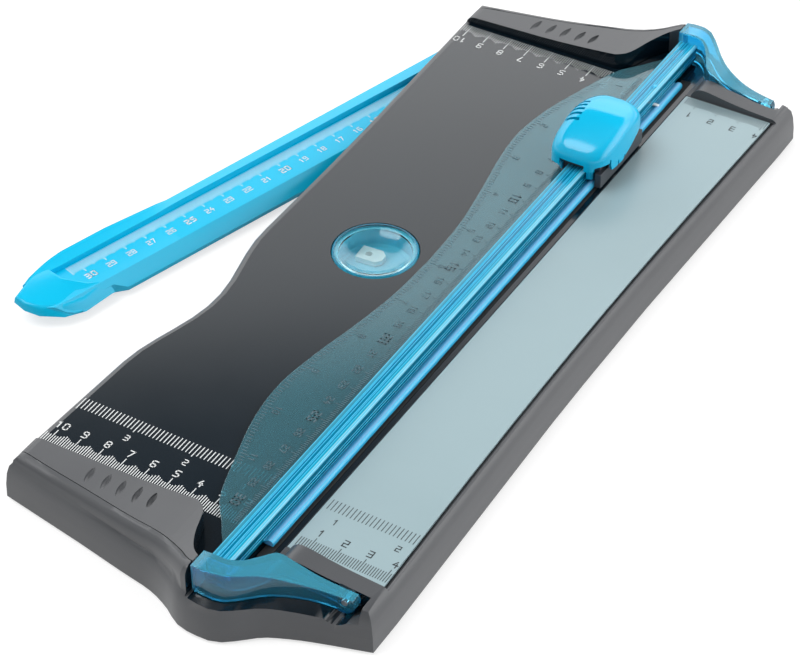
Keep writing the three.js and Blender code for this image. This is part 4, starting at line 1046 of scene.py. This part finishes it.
def makePanelPrint(size):
    bm = bmesh.new()
    ground = (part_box("measuring_panel")[1].z - inFrame(0, 0, 0).z) / mm
    top = ground + inkThick
    half = size["line"] / 2
    for i in range(size["left"], size["right"] + 1):
        long = size["cmLong"] if i % 10 == 0 else size["mmLong"]
        boxAt(bm, i - half, i + half, size["nearBase"], size["nearBase"] + long, ground, top)
        boxAt(bm, i - half, i + half, size["farBase"] - long, size["farBase"], ground, top)
    for cm in range(1, 5):
        drawNumber(bm, cm, spotAt(10 * cm, size["nearNumber"], ground), size["digit"])
        drawNumber(bm, cm, spotAt(10 * cm, size["farNumber"], ground, math.pi), size["digit"])
    step = inch / 16
    foot, head = size["inchBase"], size["inchBase"] + size["inchLong"]
    i = 0
    while size["left"] + i * step < size["right"]:
        x = size["left"] + i * step
        boxAt(bm, x - half, x + half, foot, head, ground, top)
        i += 1
    for n in (1, 2):
        spot = spotAt(size["inchZero"] + inch * n, size["inchNumber"], ground)
        drawNumber(bm, n, spot, size["inchDigit"])
    obj = newObject("panelScale", bm, [greyInk], toFrame)
    return place(obj, "base", "dark_plastic")


platePrint = {"top": 1.4, "number": -23.5, "digit": 2.5, "tickLeft": -20.5, "tickRight": -17.3,
              "line": 0.28, "zero": 155, "mmLast": 309, "halfIn": 0.9, "mmIn": 1.5, "cmLast": 30,
              "bold": 1.25, "stroke": 0.15, "boldStroke": 0.2, "inchFirst": 8, "inchLast": 179,
              "inchMore": 1.4, "halfInchMore": 0.7, "inchNumbers": (2, 11), "inchDigit": 2.4,
              "inchIn": 6.5, "edgeTick": 2.2, "edgeIn": 1.2,
              "wave": [(0, -33.5), (20, -34.2), (40, -36.6), (50, -38.2), (60, -40.1), (70, -42),
                       (80, -43.5), (90, -44.1), (100, -43.6), (110, -42), (120, -39.7),
                       (130, -36.4), (140, -33.6), (150, -29.9), (155, -26.5)], "waveMiddle": 3.4}


def waveAt(size, y):
    away = abs(y - size["waveMiddle"])
    for (a0, x0), (a1, x1) in zip(size["wave"], size["wave"][1:]):
        if away <= a1:
            return x0 + (x1 - x0) * (away - a0) / (a1 - a0)
    return size["wave"][-1][1]


def makePlatePrint(size):
    bm = bmesh.new()
    z = size["top"]
    half = size["line"] / 2
    for i in range(1, size["mmLast"] + 1):
        y = size["zero"] - i
        left = size["tickLeft"]
        if i % 10:
            left = left + (size["halfIn"] if i % 5 == 0 else size["mmIn"])
        boxAt(bm, left, size["tickRight"], y - half, y + half, z, z + inkThick)
    for cm in range(1, size["cmLast"] + 1):
        bold = cm % 5 == 0
        high = size["digit"] * (size["bold"] if bold else 1)
        stroke = high * (size["boldStroke"] if bold else size["stroke"])
        spot = spotAt(size["number"], size["zero"] - 10 * cm, z, -math.pi / 2)
        drawNumber(bm, cm, spot, high, stroke)
    # inches along the wavy edge
    step = inch / 16
    for i in range(size["inchFirst"], size["inchLast"] + 1):
        y = size["zero"] - i * step
        x = waveAt(size, y) + size["edgeIn"]
        more = size["inchMore"] if i % 16 == 0 else size["halfInchMore"] if i % 8 == 0 else 0
        boxAt(bm, x, x + (size["edgeTick"] + more), y - half, y + half, z, z + inkThick)
    first, last = size["inchNumbers"]
    for n in range(first, last + 1):
        y = size["zero"] - inch * n
        spot = spotAt(waveAt(size, y) + size["inchIn"], y, z, -math.pi / 2)
        drawNumber(bm, n, spot, size["inchDigit"])
    obj = newObject("plateScale", bm, [plateInk], toFrame)
    return place(obj, "rail", "dark_plastic")


armPrint = {"tickStart": 11.5, "mmEnd": 7.0, "halfEnd": 6.3, "cmEnd": 5.0, "number": 1.8,
            "digit": 2.4, "line": 0.28, "first": 96, "last": 305, "cmFirst": 10, "cmLast": 30,
            "bold": 1.1, "stroke": 0.14, "boldStroke": 0.2}


def makeArmPrint(size):
    bm = bmesh.new()
    half = size["line"] / 2
    for s in range(size["first"], size["last"] + 1):
        end = size["cmEnd"] if s % 10 == 0 else size["halfEnd"] if s % 5 == 0 else size["mmEnd"]
        boxAt(bm, s - half, s + half, end, size["tickStart"], 0, inkThick)
    mirror = Matrix.Diagonal((-1, 1, 1, 1))
    for cm in range(size["cmFirst"], size["cmLast"] + 1):
        bold = cm % 5 == 0
        high = size["digit"] * (size["bold"] if bold else 1)
        stroke = high * (size["boldStroke"] if bold else size["stroke"])
        spot = Matrix.Translation((10 * cm, size["number"], 0)) @ mirror
        drawNumber(bm, cm, spot, high, stroke)
    obj = newObject("armScale", bm, [whiteInk], toFrame @ armMatrix(armPlace))
    return place(obj, "ruler", "white_plastic")


makeDeckPrint(deckPrint)
makePanelPrint(panelPrint)
makePlatePrint(platePrint)
makeArmPrint(armPrint)
print("scales printed")


studio = {"floorSize": 12.0, "floor": (0.4, 0.4, 0.4), "glow": 0.68, "away": 31.27,
          "soft": [(0.0, 0.4), (0.17, 1.5), (0.47, 2.1), (0.56, 2.75), (0.59, 2.15), (0.637, 1.85),
                   (0.664, 0.16), (0.76, 0.14), (1.0, 0.25)], "softLevel": 2.75, "softFrom": 0.15,
          "softTo": 0.5, "left": (-0.85, 0.15, 0.5), "leftFrom": -0.7, "leftTo": 0.9, "dark": 0.14,
          "pale": 0.58, "panel": (0.93, 0.36, 0.1), "panelFrom": 0.6, "panelTo": 0.95,
          "panelLevel": 3.0, "sunPower": 1.5, "sunAngle": 40, "sunTilt": (15, -22, 0)}


def mathNode(tree, operation, first, second):
    node = tree.nodes.new("ShaderNodeMath")
    node.operation = operation
    tree.links.new(first, node.inputs[0])
    if isinstance(second, float):
        node.inputs[1].default_value = second
    else:
        tree.links.new(second, node.inputs[1])
    return node.outputs[0]


def makeFloor(size):
    bm = bmesh.new()
    bmesh.ops.create_grid(bm, x_segments=1, y_segments=1, size=size["floorSize"] / 2)
    bmesh.ops.translate(bm, verts=bm.verts, vec=(0, 0, groundZ))
    white = {"Emission Color": (1, 1, 1, 1), "Specular IOR Level": 0}
    material, tree, shader = newMaterial("paleFloor", size["floor"], 0.9, white)
    # the camera, a reflection and a clear piece see white paper; other light finds a plain grey
    path = tree.nodes.new("ShaderNodeLightPath").outputs
    seen = mathNode(tree, "MAXIMUM", path["Is Camera Ray"], path["Is Glossy Ray"])
    seen = mathNode(tree, "MAXIMUM", seen, path["Is Transmission Ray"])
    glow = mathNode(tree, "MULTIPLY", seen, size["glow"])
    tree.links.new(glow, shader.inputs["Emission Strength"])
    floor = newObject("floor", bm, [material])


def makeWorld(size):
    # a soft box low behind the object, a pale side on the left and a dark one on the right
    world = bpy.data.worlds.new("studio")
    bpy.context.scene.world = world
    world.use_nodes = True
    tree = world.node_tree
    around = tree.nodes.new("ShaderNodeTexCoord").outputs["Generated"]

    def lean(vector, low, high, toLow, toHigh):
        # from one level to another as a ray turns towards the vector
        dot = tree.nodes.new("ShaderNodeVectorMath")
        dot.operation = "DOT_PRODUCT"
        dot.inputs[1].default_value = vector
        spread = tree.nodes.new("ShaderNodeMapRange")
        spread.interpolation_type = "SMOOTHSTEP"
        sockets = {"From Min": low, "From Max": high, "To Min": toLow, "To Max": toHigh}
        for socket, value in sockets.items():
            spread.inputs[socket].default_value = value
        tree.links.new(around, dot.inputs[0])
        tree.links.new(dot.outputs["Value"], spread.inputs["Value"])
        return spread.outputs["Result"]

    split = tree.nodes.new("ShaderNodeSeparateXYZ")
    tree.links.new(around, split.inputs["Vector"])
    ramp = newRamp(tree, [(spot, (level / size["softLevel"],) * 3) for spot, level in size["soft"]])
    tree.links.new(split.outputs["Z"], ramp.inputs["Fac"])
    softBox = mathNode(tree, "MULTIPLY", ramp.outputs["Color"], size["softLevel"])
    away = math.radians(size["away"])
    behind = lean((-math.sin(away), math.cos(away), 0), size["softFrom"], size["softTo"], 0, 1)
    left, panel = (Vector(size[name]).normalized() for name in ("left", "panel"))
    sides = lean(left, size["leftFrom"], size["leftTo"], size["dark"], size["pale"])
    window = lean(panel, size["panelFrom"], size["panelTo"], 0, size["panelLevel"])
    mix = tree.nodes.new("ShaderNodeMix")
    tree.links.new(behind, mix.inputs["Factor"])
    tree.links.new(mathNode(tree, "ADD", sides, window), mix.inputs["A"])
    tree.links.new(softBox, mix.inputs["B"])
    background = tree.nodes["Background"].inputs
    background["Color"].default_value = (1, 1, 1, 1)
    tree.links.new(mix.outputs["Result"], background["Strength"])


def makeSun(size):
    lamp = bpy.data.lights.new("overhead", "SUN")
    lamp.energy = size["sunPower"]
    lamp.angle = math.radians(size["sunAngle"])
    obj = bpy.data.objects.new("overhead", lamp)
    obj.rotation_euler = [math.radians(a) for a in size["sunTilt"]]
    bpy.context.collection.objects.link(obj)


shot = {"target": (-22.66, -35.9, 0), "distance": 999.05, "azimuth": 31.27, "elevation": 40.26,
        "roll": -0.59, "lens": 119.42, "clip": (0.05, 20)}


def makeCamera(size):
    az, el, roll = (math.radians(size[k]) for k in ("azimuth", "elevation", "roll"))
    ahead = Vector((-math.sin(az) * math.cos(el), math.cos(az) * math.cos(el), -math.sin(el)))
    right = Vector((math.cos(az), math.sin(az), 0))
    up = right.cross(ahead)
    turned = math.cos(roll) * right + math.sin(roll) * up
    upright = -math.sin(roll) * right + math.cos(roll) * up
    camera = bpy.data.objects.new("camera", bpy.data.cameras.new("camera"))
    bpy.context.collection.objects.link(camera)
    camera.data.lens = size["lens"]
    camera.data.clip_start, camera.data.clip_end = size["clip"]
    spot = inFrame(*size["target"]) - ahead * size["distance"] * mm
    axes = Matrix((turned, upright, -ahead)).transposed().to_4x4()
    camera.matrix_world = Matrix.Translation(spot) @ axes
    bpy.context.scene.camera = camera


makeFloor(studio)
makeWorld(studio)
makeSun(studio)
makeCamera(shot)
bpy.context.scene.view_settings.view_transform = "Standard"

print("scene made")
